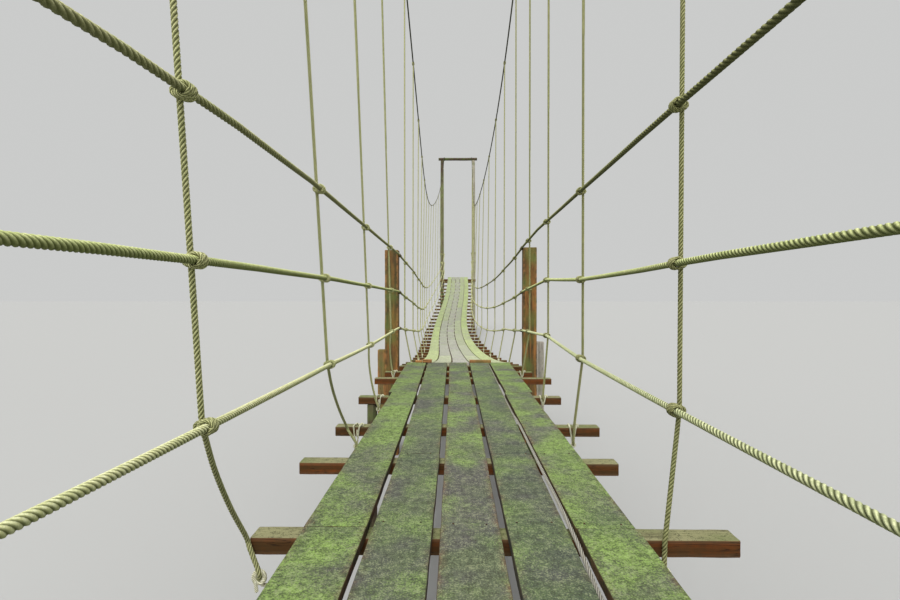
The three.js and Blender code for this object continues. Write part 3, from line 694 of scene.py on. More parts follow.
def board_material():
    """Grey-green boards under a fine speckle, with tufts of moss on top, paler past the posts and reddish on
    their sides. Each board has its own shift of the pattern."""
    def fill(place):
        c = tints()
        shift = place.node("ShaderNodeCombineXYZ", {0: place.mark("board"), 1: place.mark("board")})
        own = place.node("ShaderNodeVectorMath", {0: shift, 1: (7, 31, 0), 2: place},
                         operation="MULTIPLY_ADD")
        streak, _, split, grain = own.use("Timber grain")
        broad, small = own.use("Weather blotches", 2.6)
        light, dark, speck = own.use("Fine speckle")
        moss, bright, tufts = own.use("Moss growth", own.mark("moss"))
        top = own.upward().step(0.35, 0.85)
        wood = broad.mix(c.board_green, c.board_grey)
        wood = (streak * 0.22).mix(wood, c.speck_dark)
        wood = (split * 0.3).mix(wood, c.board_crack)
        wood = (own.mark("edge") * small * 0.85).mix(wood, c.board_edge)
        wood = top.mix(small.mix(c.board_side, c.side_stain), wood)
        wood = (moss * (top * 0.78 + 0.1)).mix(wood, bright.mix(c.moss_dark, c.moss_light))
        wood = (own.noise(1.9, 3).step(0.5, 0.72) * 0.5 + own.mark("damp")).mix(wood, c.damp_grey)
        wood = (light * top * 0.42).mix(wood, c.speck_light)
        wood = (dark * top * 0.75).mix(wood, c.speck_dark)
        faded = own.mark("faded") * (dark * -0.5 + 0.8) * (small * -0.45 + 1.05)
        wood = faded.mix(wood, own.mark("moss").step(0.45, 0.68).mix(c.faded_grey, c.faded_green))
        return {"Base Color": wood, "Roughness": broad * -0.1 + 0.9,
                "Height": tufts * 0.9 + grain * 0.5 + speck, "Depth": 0.004}
    return finish("mossy boards", fill)


def beam_material():
    """Dark reddish faces, and a greyed, speckled top with a little moss."""
    def fill(place):
        c = tints()
        streak, _, split, grain = place.turned(GRAIN_TURNS["x"]).use("Timber grain")
        small = place.use("Weather blotches", 4.0)[1]
        dark = place.use("Fine speckle")[1]
        moss = place.use("Moss growth", 0.4)[0]
        face = streak.mix(c.beam_face, c.beam_streak)
        face = (small * 0.4).mix(face, c.beam_stain)
        upper = (dark * 0.85).mix(c.beam_top, c.beam_dirt)
        upper = (moss * 0.7).mix(upper, c.moss_dark)
        wood = place.upward().step(0.35, 0.85).mix(face, upper)
        wood = (place.mark("edge") * 0.25).mix(wood, c.beam_edge)
        wood = (split * 0.6).mix(wood, c.beam_crack)
        return {"Base Color": wood, "Roughness": streak * 0.15 + 0.78, "Specular IOR Level": 0.08,
                "Height": grain, "Depth": 0.004}
    return finish("dark cross beams", fill)


def upright_material(name, main, dark, moss_amount, stain_scale=2.4, way="z"):
    """Timber with long streaks of two colours, stains, cracks, and moss in patches."""
    def fill(place):
        streak, fibre, split, grain = place.turned(GRAIN_TURNS[way]).use("Timber grain")
        broad, small = place.use("Weather blotches", stain_scale)
        moss = place.use("Moss growth", moss_amount)[0]
        wood = streak.mix(main, dark)
        wood = (broad * 0.5).mix(wood, dark)
        wood = (place.mark("edge") * small).mix(wood, [min(1, 1.35 * v + 0.02) for v in main])
        wood = (split * 0.8).mix(wood, [0.25 * v for v in dark])
        wood = (moss * 0.7).mix(wood, tints().moss_dark)
        return {"Base Color": wood, "Roughness": fibre * 0.2 + 0.7, "Height": grain, "Depth": 0.006}
    return finish(name, fill)


def rope_material(name, colour, stain=0.5, green=0.35, groove=1.0, bleach=0.0, shade=0.3, low_darken=0.0):
    """Laid fibre: painted shade in the grooves, a painted highlight on the crowns of the strands, fine yarns,
    faded and dirty stretches and a green tint in patches. Past the posts it is bleached, its underside gets
    painted shade with some dirt and its part below the low rail is darkened, each by the share given."""
    def fill(place):
        gap, yarn, height = place.lay().use("Laid rope", 4.0)
        broad, small = place.use("Weather blotches", 5.0)
        # a painted highlight colour for the crowns of the strands
        crown_highlight = [min(1, 1.3 * v + 0.05) for v in colour]
        dull = [0.5 * v for v in colour]
        # deep: the dark tone of the painted shade in the grooves and underneath, and of the darkening below
        # the low rail
        deep = [share * v for share, v in zip((0.13, 0.14, 0.1), colour)]
        mossy = [share * v for share, v in zip((0.45, 0.62, 0.3), colour)]
        base = (small * stain).mix(colour, dull)
        base = (broad * green).mix(base, mossy)
        fray = place.noise(70, 3, 0.7).step(0.42, 0.6)
        base = ((1 - fray) * 0.45).mix(base, dull)
        # painted highlight on the strand crowns, away from the grooves
        base = ((1 - gap) * fray * 0.5).mix(base, crown_highlight)
        base = (yarn * 0.3).mix(base, dull)
        beyond = place.part(1).step(VIEW_Y + KINK, VIEW_Y + KINK + 2)
        # darker below the low rail, on the part before the posts
        foot = place.part(2).step(2.1, 1.6) * (1 - beyond)
        base = (foot * low_darken).mix(base, deep)
        base = (beyond * bleach).mix(base, tints().bleached)
        # painted shade with some dirt on the underside: the more the surface faces down, the darker
        base = (place.upward().step(0.8, -1.0) * shade).mix(base, deep)
        # painted shade in the grooves between the strands
        base = (gap * groove).mix(base, deep)
        return {"Base Color": base, "Roughness": gap * 0.1 + 0.82,
                "Height": place.noise(420, 2) * 0.3 + height, "Depth": 0.003}
    return finish(name, fill)


def wire_material():
    """Galvanised strands gone dull, with dirt in the grooves and specks of rust."""
    def fill(place):
        gap, _, height = place.lay().use("Laid rope", 6.0)
        small = place.use("Weather blotches", 9.0)[1]
        base = (small * 0.25).mix(tints().wire, tints().rust)
        return {"Base Color": gap.mix(base, tints().wire_dirt), "Metallic": small * -0.3 + 0.45,
                "Roughness": small * 0.3 + 0.45, "Height": height, "Depth": 0.001}
    return finish("steel wire rope", fill)


def iron_material():
    """Rusted iron with darker pits."""
    def fill(place):
        broad, small = place.use("Weather blotches", 60.0)
        return {"Base Color": broad.mix(tints().rust, tints().rust_pit), "Metallic": 0.3,
                "Roughness": small * 0.2 + 0.7, "Height": small, "Depth": 0.001}
    return finish("rusted iron", fill)


# Pieces

class BuildPiece:
    """What the operators share."""
    bl_options = {"REGISTER", "UNDO"}

    @property
    def sizes(self):
        return bpy.context.scene.footbridge_sizes


class FOOTBRIDGE_OT_boards(BuildPiece, bpy.types.Operator):
    """Five rows of boards, level as far as the posts and sagging beyond"""
    bl_idname = "footbridge.boards"
    bl_label = "Boards"

    def board(self, shape, plank, seed, moss, damp):
        """One board: its middle line and width run evenly from end to end, cupped a little across."""
        start, end, left0, left1, right0, right1 = plank
        start, end = start + BOARD_JOINT / 2, end - BOARD_JOINT / 2
        wide = (right0 - left0 + right1 - left1) / 2
        s = np.linspace(start, end, max(2, int((end - start) / 0.12)))
        share = (s - s[0]) / (s[-1] - s[0])
        middle = (left0 + right0) / 2 * (1 - share) + (left1 + right1) / 2 * share + bow(s)
        path = np.stack([middle, VIEW_Y + s, deck_top(s)], -1)
        ring, edge = section(wide, PLANK_THICK, self.sizes.board_round, 0.03, top=13)
        cup = BOARD_CUP * np.random.default_rng(seed).uniform(-1, 1)
        ring[:, 1] += cup * (2 * ring[:, 0] / wide) ** 2 - abs(cup) - BOARD_SINK
        number = np.random.default_rng(seed + 50).uniform()
        timber(shape, path, ring, seed, step=0.06 if end <= KINK else 0.15, worn=TIMBER_WEAR,
               widths=[(right0 - left0) / wide, (right1 - left1) / wide], edge=edge, board=number,
               moss=moss + 0.1 * (number - 0.5), damp=damp, faded=float(np.interp(start, *FADING)))

    def execute(self, context):
        for row, near in enumerate(NEAR_BOARDS):
            joints = [KINK + 0.003, *FAR_BEAMS[(2 * row + 1) % 4::4], DECK_END]
            left, right = ((row - 2) * PLANK_SPACING + side * PLANK_WIDE / 2 for side in (-1, 1))
            far = [(start, end, left, left, right, right) for start, end in zip(joints, joints[1:])]
            for part, planks, seed, moss, nodes in (
                    ("near", near, 10 * row, ROW_MOSS[row], [f"near_planks_{row + 1}"]),
                    ("far", far, 100 + 20 * row, ROW_MOSS[row] + FAR_MOSS, FAR_DECK)):
                shape = Shape()
                for k, plank in enumerate(planks):
                    self.board(shape, plank, seed + k, moss, ROW_DAMP[row])
                name = f"boards_{part}_row_{row + 1}"
                shape.build(name, board_material(), "plank", *nodes, sharp=BOARD_SHARP)
        return {"FINISHED"}


class FOOTBRIDGE_OT_beams(BuildPiece, bpy.types.Operator):
    """Cross beams under the boards and the bearers at both ends"""
    bl_idname = "footbridge.beams"
    bl_label = "Cross beams"

    def beams(self, name, places, seed, *nodes):
        """Beams at right angles to the deck, from their stations, left ends and right ends."""
        shape = Shape()
        for k, (s, left, right) in enumerate(places):
            slope, drop = deck_slope(s), PLANK_THICK - BEAM_SEAT
            ends = [[x, VIEW_Y + s + slope * drop, float(deck_top(s)) - drop] for x in (left, right)]
            ring, edge = section(BEAM_WIDE, BEAM_TALL, 0.005, 0.02)
            timber(shape, ends, ring, seed + k, upright=directions(slope)[1], step=0.07 if s < KINK else 0.13,
                   worn=TIMBER_WEAR, chamfer=0.003, edge=edge)
        shape.build(name, beam_material(), "beam", *nodes, sharp=BOARD_SHARP)

    def execute(self, context):
        self.beams("beams_near", NEAR_BEAMS, 300, "near_beams")
        uneven = np.random.default_rng(3).uniform(-0.03, 0.0, (FAR_BEAM_COUNT, 2))
        far = [(s, bow(s) - BEAM_HALF - left, bow(s) + BEAM_HALF + right)
               for s, (left, right) in zip(FAR_BEAMS, uneven)]
        self.beams("beams_far", far, 340, *FAR_DECK)
        for end in ("near", "far"):
            low, high, middle = box_of(f"{end}_end_bearer")
            shape = Shape()
            ring, edge = section(high.y - low.y, high.z - low.z, 0.008, 0.03)
            timber(shape, [[low.x, middle.y, high.z], [high.x, middle.y, high.z]], ring, 390, edge=edge)
            shape.build(f"bearer_{end}", beam_material(), "beam", f"{end}_end_bearer", sharp=BOARD_SHARP)
        return {"FINISHED"}


class FOOTBRIDGE_OT_wire(BuildPiece, bpy.types.Operator):
    """Steel wire rope in the gap beside the right outer row of boards"""
    bl_idname = "footbridge.wire"
    bl_label = "Wire rope"

    def execute(self, context):
        shape = Shape()
        size = self.sizes.wire_rope
        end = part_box("far_end_bearer")[0].y - VIEW_Y - WIRE_SHORT
        for start, stop, fine in ((WIRE_START, WIRE_FINE_END, True), (WIRE_FINE_END, end, False)):
            s = np.linspace(start, stop, 200)
            lift = np.interp(s, *WIRE_LIFTS) - np.where(s > KINK, size / 4, 0)
            path = np.stack([np.interp(s, *WIRE_PLACES) + bow(s), VIEW_Y + s, deck_top(s) + lift], -1)
            rope(shape, path, size, WIRE_LAY, strands=6, cols=18, rings=14, fine=fine)
        shape.build("wire_rope", wire_material(), "beam", "near_beams", *FAR_DECK)
        return {"FINISHED"}


class FOOTBRIDGE_OT_rails(BuildPiece, bpy.types.Operator):
    """Three laid ropes a side, turned round the masts at both ends"""
    bl_idname = "footbridge.rails"
    bl_label = "Rope rails"

    def mast_turns(self, hand, level, s, way):
        """Turns of a falling helix round a mast, tangent to the straight rope."""
        low, high, _ = box_of(f"near_mast_{hand}")
        radius = (high.x - low.x) / 2 * MAST_FLAT + self.sizes.rail_rope / 2
        start = rail_point(hand, level, s)
        angle = np.linspace(0, MAST_TURNS * TURN, 120)
        return start + np.stack([HANDS[hand] * radius * (1 - np.cos(angle)), way * radius * np.sin(angle),
                                 -(self.sizes.rail_rope + 0.002) * angle / TURN], -1)

    def execute(self, context):
        size = self.sizes.rail_rope
        for hand, level in RAIL_HEIGHTS:
            shape = Shape()
            lay = RAIL_LAYS[hand, level]
            worn, bleach, shade, cols = RAIL_WEAR[level]

            def stretch(start, end, step):
                return rail_point(hand, level, np.arange(start, end, step))

            rope(shape, stretch(NEAR_MAST + 0.25, KINK + 0.3, 0.05), size, lay, cols=cols, rings=12)
            near = stretch(NEAR_MAST + 0.05, NEAR_MAST + 0.35, 0.05)
            wrap = self.mast_turns(hand, level, NEAR_MAST, -1)
            rope(shape, np.vstack([wrap[::-1], near]), size, lay, fine=False, step=0.05)
            far = stretch(KINK + 0.25, FAR_MAST - 0.05, 0.1)
            wrap = self.mast_turns(hand, level, FAR_MAST, 1)
            rope(shape, np.vstack([far, wrap]), size, lay, fine=False)
            fibre = rope_material(f"{level} rail rope {hand}", getattr(tints(), f"{level}_rail_{hand}"),
                                  worn, 0.7 * worn, bleach=bleach, shade=shade)
            shape.build(f"rail_rope_{level}_{hand}", fibre, "rail_rope", f"{level}_rail_{hand}")
        return {"FINISHED"}


def hanger_list(hand):
    """Every hanger of one side: its points at the cable and rails, the station of its beam, and where it
    passes the beam's edge and has its knot. These two are given as distance out, distance past the beam's
    middle and height over its top."""
    side = HANDS[hand]
    near = [(low, lean, NEAR_BEAMS[beam][0], (side * edge, -FOOT_REACH, 0.01),
             (side * knot, -FOOT_REACH, PLANK_THICK - drop))
            for low, lean, beam, edge, knot, drop in NEAR_HANGERS[hand]]
    far = [(s, 0.0, s, None, (side * FAR_FOOT_X + float(bow(s)), 0.0, 0.016)) for s in FAR_BEAMS[::2]]
    hangers = []
    for low, lean, foot, edge, knot in near + far:
        held = [rail_point(hand, "low", low)]
        for level in ("middle", "top"):
            rise = float(rail_height(hand, level, low) - rail_height(hand, "low", low))
            held.append(rail_point(hand, level, low - lean * rise))
        top = low
        for _ in range(12):  # the lean and the cable's height settle each other
            top = low - lean * (cable_point(hand, top)[2] - held[0][2])
        beam = np.array([0, VIEW_Y + foot, float(deck_top(foot)) - PLANK_THICK])
        hangers.append({"foot": foot, "edge": None if edge is None else beam + edge, "knot": beam + knot,
                        "cable": cable_point(hand, top), "held": held})
    return hangers


class FOOTBRIDGE_OT_hangers(BuildPiece, bpy.types.Operator):
    """Hangers from the main cables to the beams, hitched to each rail they pass"""
    bl_idname = "footbridge.hangers"
    bl_label = "Hangers"

    def line(self, hand, hanger):
        """The hanger from the cable, past the outer side of the rails, to its beam."""
        out = HANDS[hand] * ACROSS
        low, middle, top = (point + (HANGER_X - RAIL_X) * out for point in hanger["held"])
        edge, knot = hanger["edge"], hanger["knot"]
        if edge is None:
            return [hanger["cable"], top, middle, low, knot]
        slack = FOOT_SLACK[hand] * out
        down = [low, low + 0.35 * (edge - low) + slack, low + 0.7 * (edge - low) + 0.9 * slack, edge,
                edge + 0.3 * (knot - edge), knot + 0.03 * UP - 0.008 * ALONG, knot + 0.004 * UP,
                knot + 0.008 * out + 0.01 * ALONG - 0.016 * UP]
        return [hanger["cable"], top, middle, *curve(down, 0.01)]

    def hitch(self, shape, centre, ahead, out, held, thick, fine, cols=8, turns=HITCH_END):
        """Tight turns round a held line and a short end. centre is on the held line, ahead a point farther on
        it and out the side where the hanger passes. The distance is the sum of the radii, and where a turn
        crosses the hanger it grows by its thickness times exp of minus the square of the angle from out."""
        tie = self.sizes.hitch_cord
        along = unit(ahead - centre)
        angle = np.linspace(HITCH_START * TURN, turns * TURN, 220 if fine else 70)
        slide = HITCH_PITCH * tie * angle / TURN
        past = np.abs((angle + math.pi) % TURN - math.pi)
        bump = np.exp(-(past / CROSSING) ** 2 - (slide / (1.1 * thick + 0.001)) ** 6)
        over = held / 2 + tie / 2 + thick * bump
        path = centre + slide[:, None] * along + over[:, None] * (
            np.cos(angle)[:, None] * out + np.sin(angle)[:, None] * np.cross(along, out))
        if fine:
            tip = path[-1] + np.outer((0.008, 0.015), unit(path[-1] - path[-2]))
            tip[1] += 0.003 * along - 0.004 * UP
            path = np.vstack([path, tip])
        rope(shape, path, tie, HITCH_LAY, upright=along, cols=cols, rings=10, fine=fine, step=0.02)

    def execute(self, context):
        sizes = self.sizes
        for hand, side in HANDS.items():
            near, far, ties = Shape(), Shape(), Shape()
            for k, hanger in enumerate(hanger_list(hand)):
                points = self.line(hand, hanger)
                close = hanger["edge"] is not None
                cols = 12 if k < CLOSEST_HANGERS else 8
                upper, lower = points[:2]
                join = upper + (lower - upper) * max(0.0, 1 - STRANDS_REACH / np.linalg.norm(lower - upper))
                shape = near if close else far
                for line, fine, step in (([upper, join], False, 0.3), ([join, *points[1:]], close, 0.15)):
                    rope(shape, line, sizes.hanger_rope, HANGER_LAY, ALONG, cols=cols, fine=fine, step=step)
                out = side * ACROSS
                for level, held in zip(LEVELS, hanger["held"]):
                    ahead = rail_point(hand, level, held[1] - VIEW_Y + AHEAD)
                    self.hitch(ties, held, ahead, out, sizes.rail_rope, sizes.hanger_rope, close, cols)
                ahead = cable_point(hand, upper[1] - VIEW_Y + AHEAD)
                self.hitch(ties, upper, ahead, out, sizes.cable_rope, 0.0, False, turns=CABLE_HITCH_END)
            tint = getattr(tints(), f"hangers_{hand}")
            fibre = rope_material(f"hanger rope {hand}", tint, bleach=0.5, low_darken=0.35)
            for name, shape in (("hangers_near", near), ("hangers_far", far), ("rail_hitches", ties)):
                shape.build(f"{name}_{hand}", fibre, "hanger_rope", *CABLE_NODES[hand])
            self.beam_ties(hand)
        return {"FINISHED"}

    def sling(self, knot, foot, under):
        """Points of the cord round a beam, as distance out, along and up from the knot. Under: an eye in
        front and one leg below the beam and up its back. Else: an end on the beam's top, an eye in front
        whose legs part up the front, and a turn round the beam."""
        inward = -np.sign(knot[0])
        top = float(deck_top(foot)) - PLANK_THICK - knot[2]
        back = VIEW_Y + foot - knot[1] + BEAM_WIDE / 2 + 0.008
        front = VIEW_Y + foot - knot[1] - BEAM_WIDE / 2 - 0.007
        angle = np.linspace(0.12, 1.88, 21) * TURN
        size = np.linspace(1, 0.62, 21)
        eye = np.stack([-inward * 0.027 * size * np.sin(angle), 0.006 * (1 - size),
                        0.002 - 0.03 * size * np.cos(angle)], -1)
        if under:
            below = top - BEAM_TALL - 0.012
            path = [(-0.012 * inward, 0.0, -0.058), *eye, (0.012 * inward, 0.008, -0.034),
                    (0.06 * inward, 0.03, -0.03), (0.11 * inward, 0.06, 0.5 * below),
                    (0.13 * inward, 0.5 * back, below), (0.135 * inward, back - 0.02, below),
                    (0.137 * inward, back, below + 0.022), (0.14 * inward, back, top - 0.012)]
        else:
            low, middle = min(0.0, top - BEAM_TALL - 0.012), 0.5 * (front + back)
            path = [(0.03, front + 0.03, top + 0.01), (0.026, front + 0.004, top + 0.006),
                    (0.02, front, top - 0.012), (0.004, front, low + 0.006), *(0.6 * eye),
                    (-0.004, front, low + 0.006), (-0.02, front, top - 0.012),
                    (-0.022, front + 0.006, top + 0.006), (-0.016, middle, top + 0.006),
                    (-0.012, back, top - 0.004), (-0.01, back, top - BEAM_TALL),
                    (0, middle, top - BEAM_TALL - 0.007), (0.006, front, top - BEAM_TALL + 0.004),
                    (0.006, front, top - 0.02)]
        return knot + np.array(path)

    def beam_ties(self, hand):
        """The sling of each near hanger, and on the far beams two turns of cord in the shape of the beam's
        section; a trefoil knot where the hanger meets the far ones and on top of the near ones tied without
        an eye."""
        tie = self.sizes.sling_cord
        shape = Shape()
        for hanger in hanger_list(hand):
            close, spot = hanger["edge"] is not None, hanger["knot"]
            under = close and hanger["foot"] < EYE_SLINGS_END
            if close:
                path = self.sling(spot, hanger["foot"], under)
                spot = path[0]
                rope(shape, curve(path, 0.004), tie * (EYE_CORD_SHARE if under else 1), SLING_LAY,
                     upright=unit(np.array([1.0, 0.3, 0.2])), cols=12, rings=8)
            else:
                along, up = directions(deck_slope(hanger["foot"]))
                ring = outline(BEAM_WIDE + tie, BEAM_TALL + tie, 0.014, top=3, flank=1, bottom=3)
                ring[:, 1] += tie / 2
                turn = np.vstack([ring, ring, ring[:1]])
                slide = np.linspace(-tie, tie, len(turn))[:, None] / 2
                path = spot - 0.016 * UP + slide * ACROSS + turn[:, :1] * along + turn[:, 1:] * up
                rope(shape, path, tie, BINDING_LAY, upright=ACROSS, fine=False, step=0.02)
            if not under:
                angle = np.linspace(0, TURN, 90 if close else 40)
                knot = np.stack([np.sin(angle) + 2 * np.sin(2 * angle), np.cos(angle) - 2 * np.cos(2 * angle),
                                 -np.sin(3 * angle)], -1)
                rope(shape, spot + 0.55 * tie * knot, tie, SLING_LAY, upright=np.array([0.3, 0.3, 0.9]),
                     cols=12 if close else 8, rings=8, fine=close, step=0.01)
        fibre = rope_material("pale knots", tints().knots, stain=0.2, green=0.1, groove=0.8, shade=0.15)
        shape.build(f"beam_ties_{hand}", fibre, "hanger_rope", *CABLE_NODES[hand])


class FOOTBRIDGE_OT_cables(BuildPiece, bpy.types.Operator):
    """Main cables from head bar to head bar, turned round each"""
    bl_idname = "footbridge.cables"
    bl_label = "Main cables"

    def bar_turns(self, hand, end, way):
        """Turns round the head bar, tangent to the cable where it leaves the top of the bar."""
        middle = box_of(f"{end}_head_bar")[2]
        radius = HEAD_BAR_RADIUS + self.sizes.cable_rope / 2 + 0.001
        station = NEAR_MAST if end == "near" else FAR_MAST
        lean = math.atan(2 * CABLE_CURVE * abs(station - CABLE_LOW_STATION))
        angle = lean - np.linspace(0, BAR_TURNS * TURN, 90)
        x = HANDS[hand] * HANGER_X + np.linspace(0, 1.6 * self.sizes.cable_rope, 90)
        return np.stack([x, middle.y + way * radius * np.sin(angle), middle.z + radius * np.cos(angle)], -1)

    def execute(self, context):
        material = rope_material("main cable", tints().cable, stain=0.4, green=0.3)
        for hand in HANDS:
            start, end = self.bar_turns(hand, "near", 1), self.bar_turns(hand, "far", -1)
            s = np.linspace(start[0, 1] - VIEW_Y + 0.02, end[0, 1] - VIEW_Y - 0.02, 400)
            shape = Shape()
            path = np.vstack([start[::-1], cable_point(hand, s), end])
            rope(shape, path, self.sizes.cable_rope, CABLE_LAY, fine=False, step=0.05)
            shape.build(f"main_cable_{hand}", material, "hanger_rope", *CABLE_NODES[hand])
        return {"FINISHED"}


class FOOTBRIDGE_OT_posts(BuildPiece, bpy.types.Operator):
    """Square rail posts, the stub piles beside them and the round piles under the beams"""
    bl_idname = "footbridge.posts"
    bl_label = "Posts and piles"

    def square(self, name, node_name, material, slot, seed):
        """A square timber that fills its node's box."""
        low, high, middle = box_of(node_name)
        deep = high.y - low.y
        ring, edge = section(high.x - low.x, deep, 0.009, 0.03)
        ring[:, 1] += deep / 2
        shape = Shape()
        timber(shape, [[middle.x, middle.y, low.z], [middle.x, middle.y, high.z]], ring, seed, upright=ALONG,
               step=0.08, worn=0.0022, chamfer=0.006, edge=edge)
        shape.build(name, material, slot, node_name, sharp=BOARD_SHARP)

    def execute(self, context):
        c = tints()
        post = upright_material("reddish posts", c.post_face, c.post_streak, 0.36)
        stubs = {"left": upright_material("brown stub", c.post_face, c.stub_streak, 0.5),
                 "right": upright_material("pale stub", c.pale_stub, c.pale_stub_streak, 0.3, 14.4)}
        bark = upright_material("dark piles", c.dark_log, c.dark_log_streak, 0.45)
        for k, hand in enumerate(HANDS):
            self.square(f"post_{hand}", f"rail_post_{hand}", post, "post", 500 + k)
            self.square(f"stub_{hand}", f"stub_pile_{hand}", stubs[hand], "stub", 510 + k)
            for n in (1, 2):
                low, high, middle = box_of(f"beam_pile_{hand}_{n}")
                ends = [[middle.x, middle.y, 0], [middle.x, middle.y, high.z]]
                pile = log(ends, [(high.y - low.y) / 2] * 2, 520 + 2 * k + n)
                pile.build(f"pile_{hand}_{n}", bark, "pile", f"beam_pile_{hand}_{n}", sharp=LOG_SHARP)
        return {"FINISHED"}


class FOOTBRIDGE_OT_masts(BuildPiece, bpy.types.Operator):
    """Log masts at both ends with a head bar across each pair"""
    bl_idname = "footbridge.masts"
    bl_label = "Masts"

    def execute(self, context):
        c = tints()
        logs = {"left": upright_material("dark log", c.dark_log, c.dark_log_streak, 0.45),
                "right": upright_material("pale log", c.pale_log, c.pale_log_streak, 0.15)}
        for end, seed in (("near", 600), ("far", 605)):
            for k, hand in enumerate(HANDS):
                low, high, middle = box_of(f"{end}_mast_{hand}")
                foot = (high.y - low.y) / 2 * MAST_FLAT
                ends = [[middle.x, middle.y, 0], [middle.x, middle.y, high.z]]
                mast = log(ends, [foot, MAST_TAPER * foot], seed + k, cols=40)
                mast.build(f"mast_{end}_{hand}", logs[hand], "mast", f"{end}_mast_{hand}", sharp=LOG_SHARP)
            low, high, middle = box_of(f"{end}_head_bar")
            ends = [[low.x, middle.y, middle.z], [high.x, middle.y, middle.z]]
            bar = log(ends, [HEAD_BAR_RADIUS] * 2, 620, upright=UP)
            bar.build(f"head_log_{end}", logs["left"], "mast", f"{end}_head_bar", sharp=LOG_SHARP)
        return {"FINISHED"}


class FOOTBRIDGE_OT_fastenings(BuildPiece, bpy.types.Operator):
    """Nail heads in the boards, battens where the deck bends and staples on the posts"""
    bl_idname = "footbridge.fastenings"
    bl_label = "Fastenings"

    def nails(self, iron):
        """Low domes, two in each board over each beam: three rings about the upright."""
        spots = []
        for row, boards in enumerate(NEAR_BOARDS):
            for s, *_ in NEAR_BEAMS:
                start, end, left0, left1, right0, right1 = next(b for b in boards if b[0] <= s <= b[1])
                share = (s - start) / (end - start)
                left, right = left0 * (1 - share) + left1 * share, right0 * (1 - share) + right1 * share
                spots += [(left + NAIL_INSET, s), (right - NAIL_INSET, s)]
            for s in FAR_BEAMS:
                x = (row - 2) * PLANK_SPACING + float(bow(s))
                spots += [(x - FAR_NAIL_OUT, s), (x + FAR_NAIL_OUT, s)]
        spots = np.array(spots)
        spots += np.random.default_rng(8).uniform(-NAIL_SCATTER, NAIL_SCATTER, spots.shape)
        shape = Shape()
        angle = TURN * np.arange(6) / 6
        rings = np.array([(1.0, -0.6), (1.0, -0.1), (0.6, 0.2)]) * self.sizes.nail_head
        flat = np.stack([np.cos(angle), np.sin(angle), np.zeros(6)], -1)
        for x, s in spots:
            base = np.array([x, VIEW_Y + s, float(deck_top(s)) - NAIL_SINK])
            shape.add(base + rings[:, None, :1] * flat + rings[:, None, 1:] * UP)
        shape.build("nail_heads", iron, "beam", *FAR_DECK)

    def battens(self):
        """Strips of fresh wood nailed over the joint where the deck bends."""
        fresh = upright_material("fresh battens", tints().batten, tints().batten_streak, 0.2, way="x")
        shape = Shape()
        for k, (left, right, wide, tall) in enumerate(BATTENS):
            ring, edge = section(wide, tall, 0.004, 0.015)
            ends = [[x, VIEW_Y + KINK, DECK_TOP + tall - 0.002] for x in (left, right)]
            timber(shape, ends, ring, 700 + k, step=0.04, edge=edge)
        shape.build("battens", fresh, "plank", sharp=BOARD_SHARP)

    def staples(self, iron):
        """Half hoops of rod that hold the rails to the inner faces of the posts, two to a rail."""
        shape = Shape()
        angle = np.linspace(-0.5, 0.5, 13) * math.pi
        radius = self.sizes.rail_rope / 2 + STAPLE_ROD / 2
        for hand, side in HANDS.items():
            low, high, _ = box_of(f"rail_post_{hand}")
            inside = (low.x if side > 0 else high.x) + side * STAPLE_DEPTH
            for level in LEVELS:
                for y in (low.y + STAPLE_INSET, high.y - STAPLE_INSET):
                    x, _, z = rail_point(hand, level, y - VIEW_Y)
                    hoop = [(x - side * radius * math.cos(a), y, z + radius * math.sin(a)) for a in angle]
                    points = [(inside, y, hoop[0][2]), *hoop, (inside, y, hoop[-1][2])]
                    rope(shape, curve(points, 0.008), STAPLE_ROD, 0.05, upright=ALONG, fine=False, step=0.006)
        shape.build("staples", iron, "post")

    def execute(self, context):
        iron = iron_material()
        self.nails(iron)
        self.staples(iron)
        self.battens()
        return {"FINISHED"}


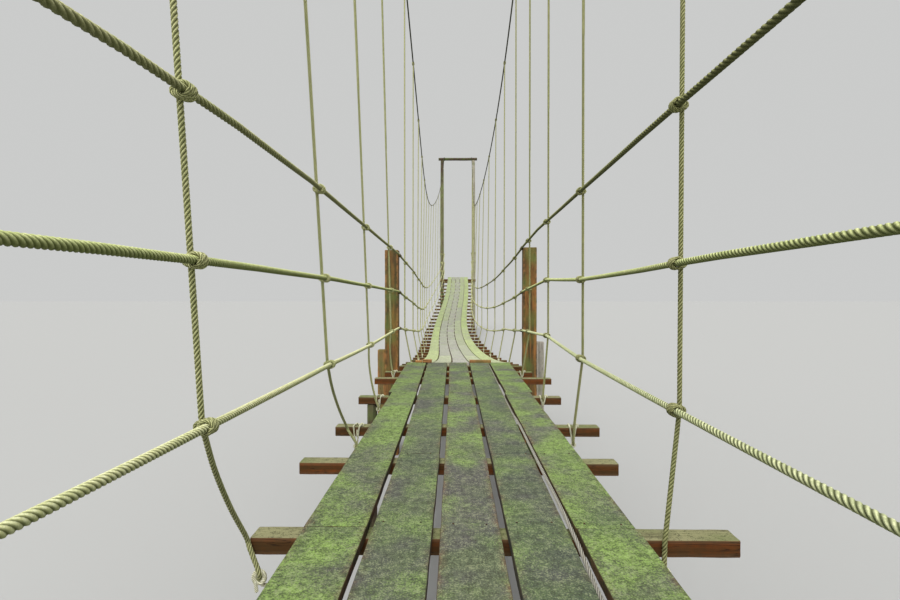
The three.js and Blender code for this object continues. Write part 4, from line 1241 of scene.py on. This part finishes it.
class FOOTBRIDGE_OT_stage(BuildPiece, bpy.types.Operator):
    """Pale floor, soft light and a camera where the viewer stands"""
    bl_idname = "footbridge.stage"
    bl_label = "Stage"

    def execute(self, context):
        scene = context.scene
        mesh = bpy.data.meshes.new("floor")
        corners = [(x * FLOOR_HALF, y * FLOOR_HALF, 0) for x, y in ((-1, -1), (1, -1), (1, 1), (-1, 1))]
        mesh.from_pydata(corners, [], [(0, 1, 2, 3)])
        paint = bpy.data.materials.new("pale floor")
        paint.use_nodes = True
        shader = paint.node_tree.nodes["Principled BSDF"]
        shader.inputs["Base Color"].default_value = (0.385, 0.385, 0.375, 1)
        shader.inputs["Roughness"].default_value = 0.95
        mesh.materials.append(paint)
        floor = bpy.data.objects.new("floor", mesh)
        world = bpy.data.worlds.new("soft light")
        world.use_nodes = True
        background = world.node_tree.nodes["Background"].inputs
        background[0].default_value = (0.99, 1.0, 0.99, 1)
        background[1].default_value = 0.6
        scene.world = world
        sun = bpy.data.lights.new("soft sun", "SUN")
        sun.energy = 3.6
        sun.angle = math.radians(40)
        lamp = bpy.data.objects.new("soft sun", sun)
        lamp.rotation_euler = (math.radians(34), math.radians(-7), 0)
        camera = bpy.data.cameras.new("viewer")
        camera.lens = 20.0
        camera.sensor_width = 36.0
        camera.clip_end = 500
        viewer = bpy.data.objects.new("viewer", camera)
        level = math.cos(EYE_PITCH)
        look = Vector((-math.sin(EYE_YAW) * level, math.cos(EYE_YAW) * level, -math.sin(EYE_PITCH)))
        viewer.location = EYE
        viewer.rotation_euler = look.to_track_quat("-Z", "Y").to_euler()
        for thing in (floor, lamp, viewer):
            scene.collection.objects.link(thing)
        scene.camera = viewer
        scene.view_settings.view_transform = "Standard"
        return {"FINISHED"}


PIECE_OPERATORS = (
    FOOTBRIDGE_OT_boards, FOOTBRIDGE_OT_beams, FOOTBRIDGE_OT_wire, FOOTBRIDGE_OT_rails,
    FOOTBRIDGE_OT_hangers, FOOTBRIDGE_OT_cables, FOOTBRIDGE_OT_posts, FOOTBRIDGE_OT_masts,
    FOOTBRIDGE_OT_fastenings, FOOTBRIDGE_OT_stage,
)


class FOOTBRIDGE_PT_sidebar(bpy.types.Panel):
    """Lists the pieces, sizes and colours of the footbridge"""
    bl_idname = "FOOTBRIDGE_PT_sidebar"
    bl_label = "Footbridge"
    bl_space_type = "VIEW_3D"
    bl_region_type = "UI"
    bl_category = "Footbridge"

    def draw(self, context):
        column = self.layout.column()
        for operator in PIECE_OPERATORS:
            column.operator(operator.bl_idname)
        for settings in (context.scene.footbridge_sizes, context.scene.footbridge_colours):
            for name in settings.__annotations__:
                column.prop(settings, name)


CLASSES = (FootbridgeSizes, FootbridgeColours, *PIECE_OPERATORS, FOOTBRIDGE_PT_sidebar)


def register():
    for item in CLASSES:
        bpy.utils.register_class(item)
    bpy.types.Scene.footbridge_sizes = bpy.props.PointerProperty(type=FootbridgeSizes)
    bpy.types.Scene.footbridge_colours = bpy.props.PointerProperty(type=FootbridgeColours)


def unregister():
    del bpy.types.Scene.footbridge_colours
    del bpy.types.Scene.footbridge_sizes
    for item in reversed(CLASSES):
        bpy.utils.unregister_class(item)


def main():
    register()
    for operator in PIECE_OPERATORS:
        family, name = operator.bl_idname.split(".")
        getattr(getattr(bpy.ops, family), name)()
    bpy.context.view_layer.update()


if __name__ == "__main__":
    main()
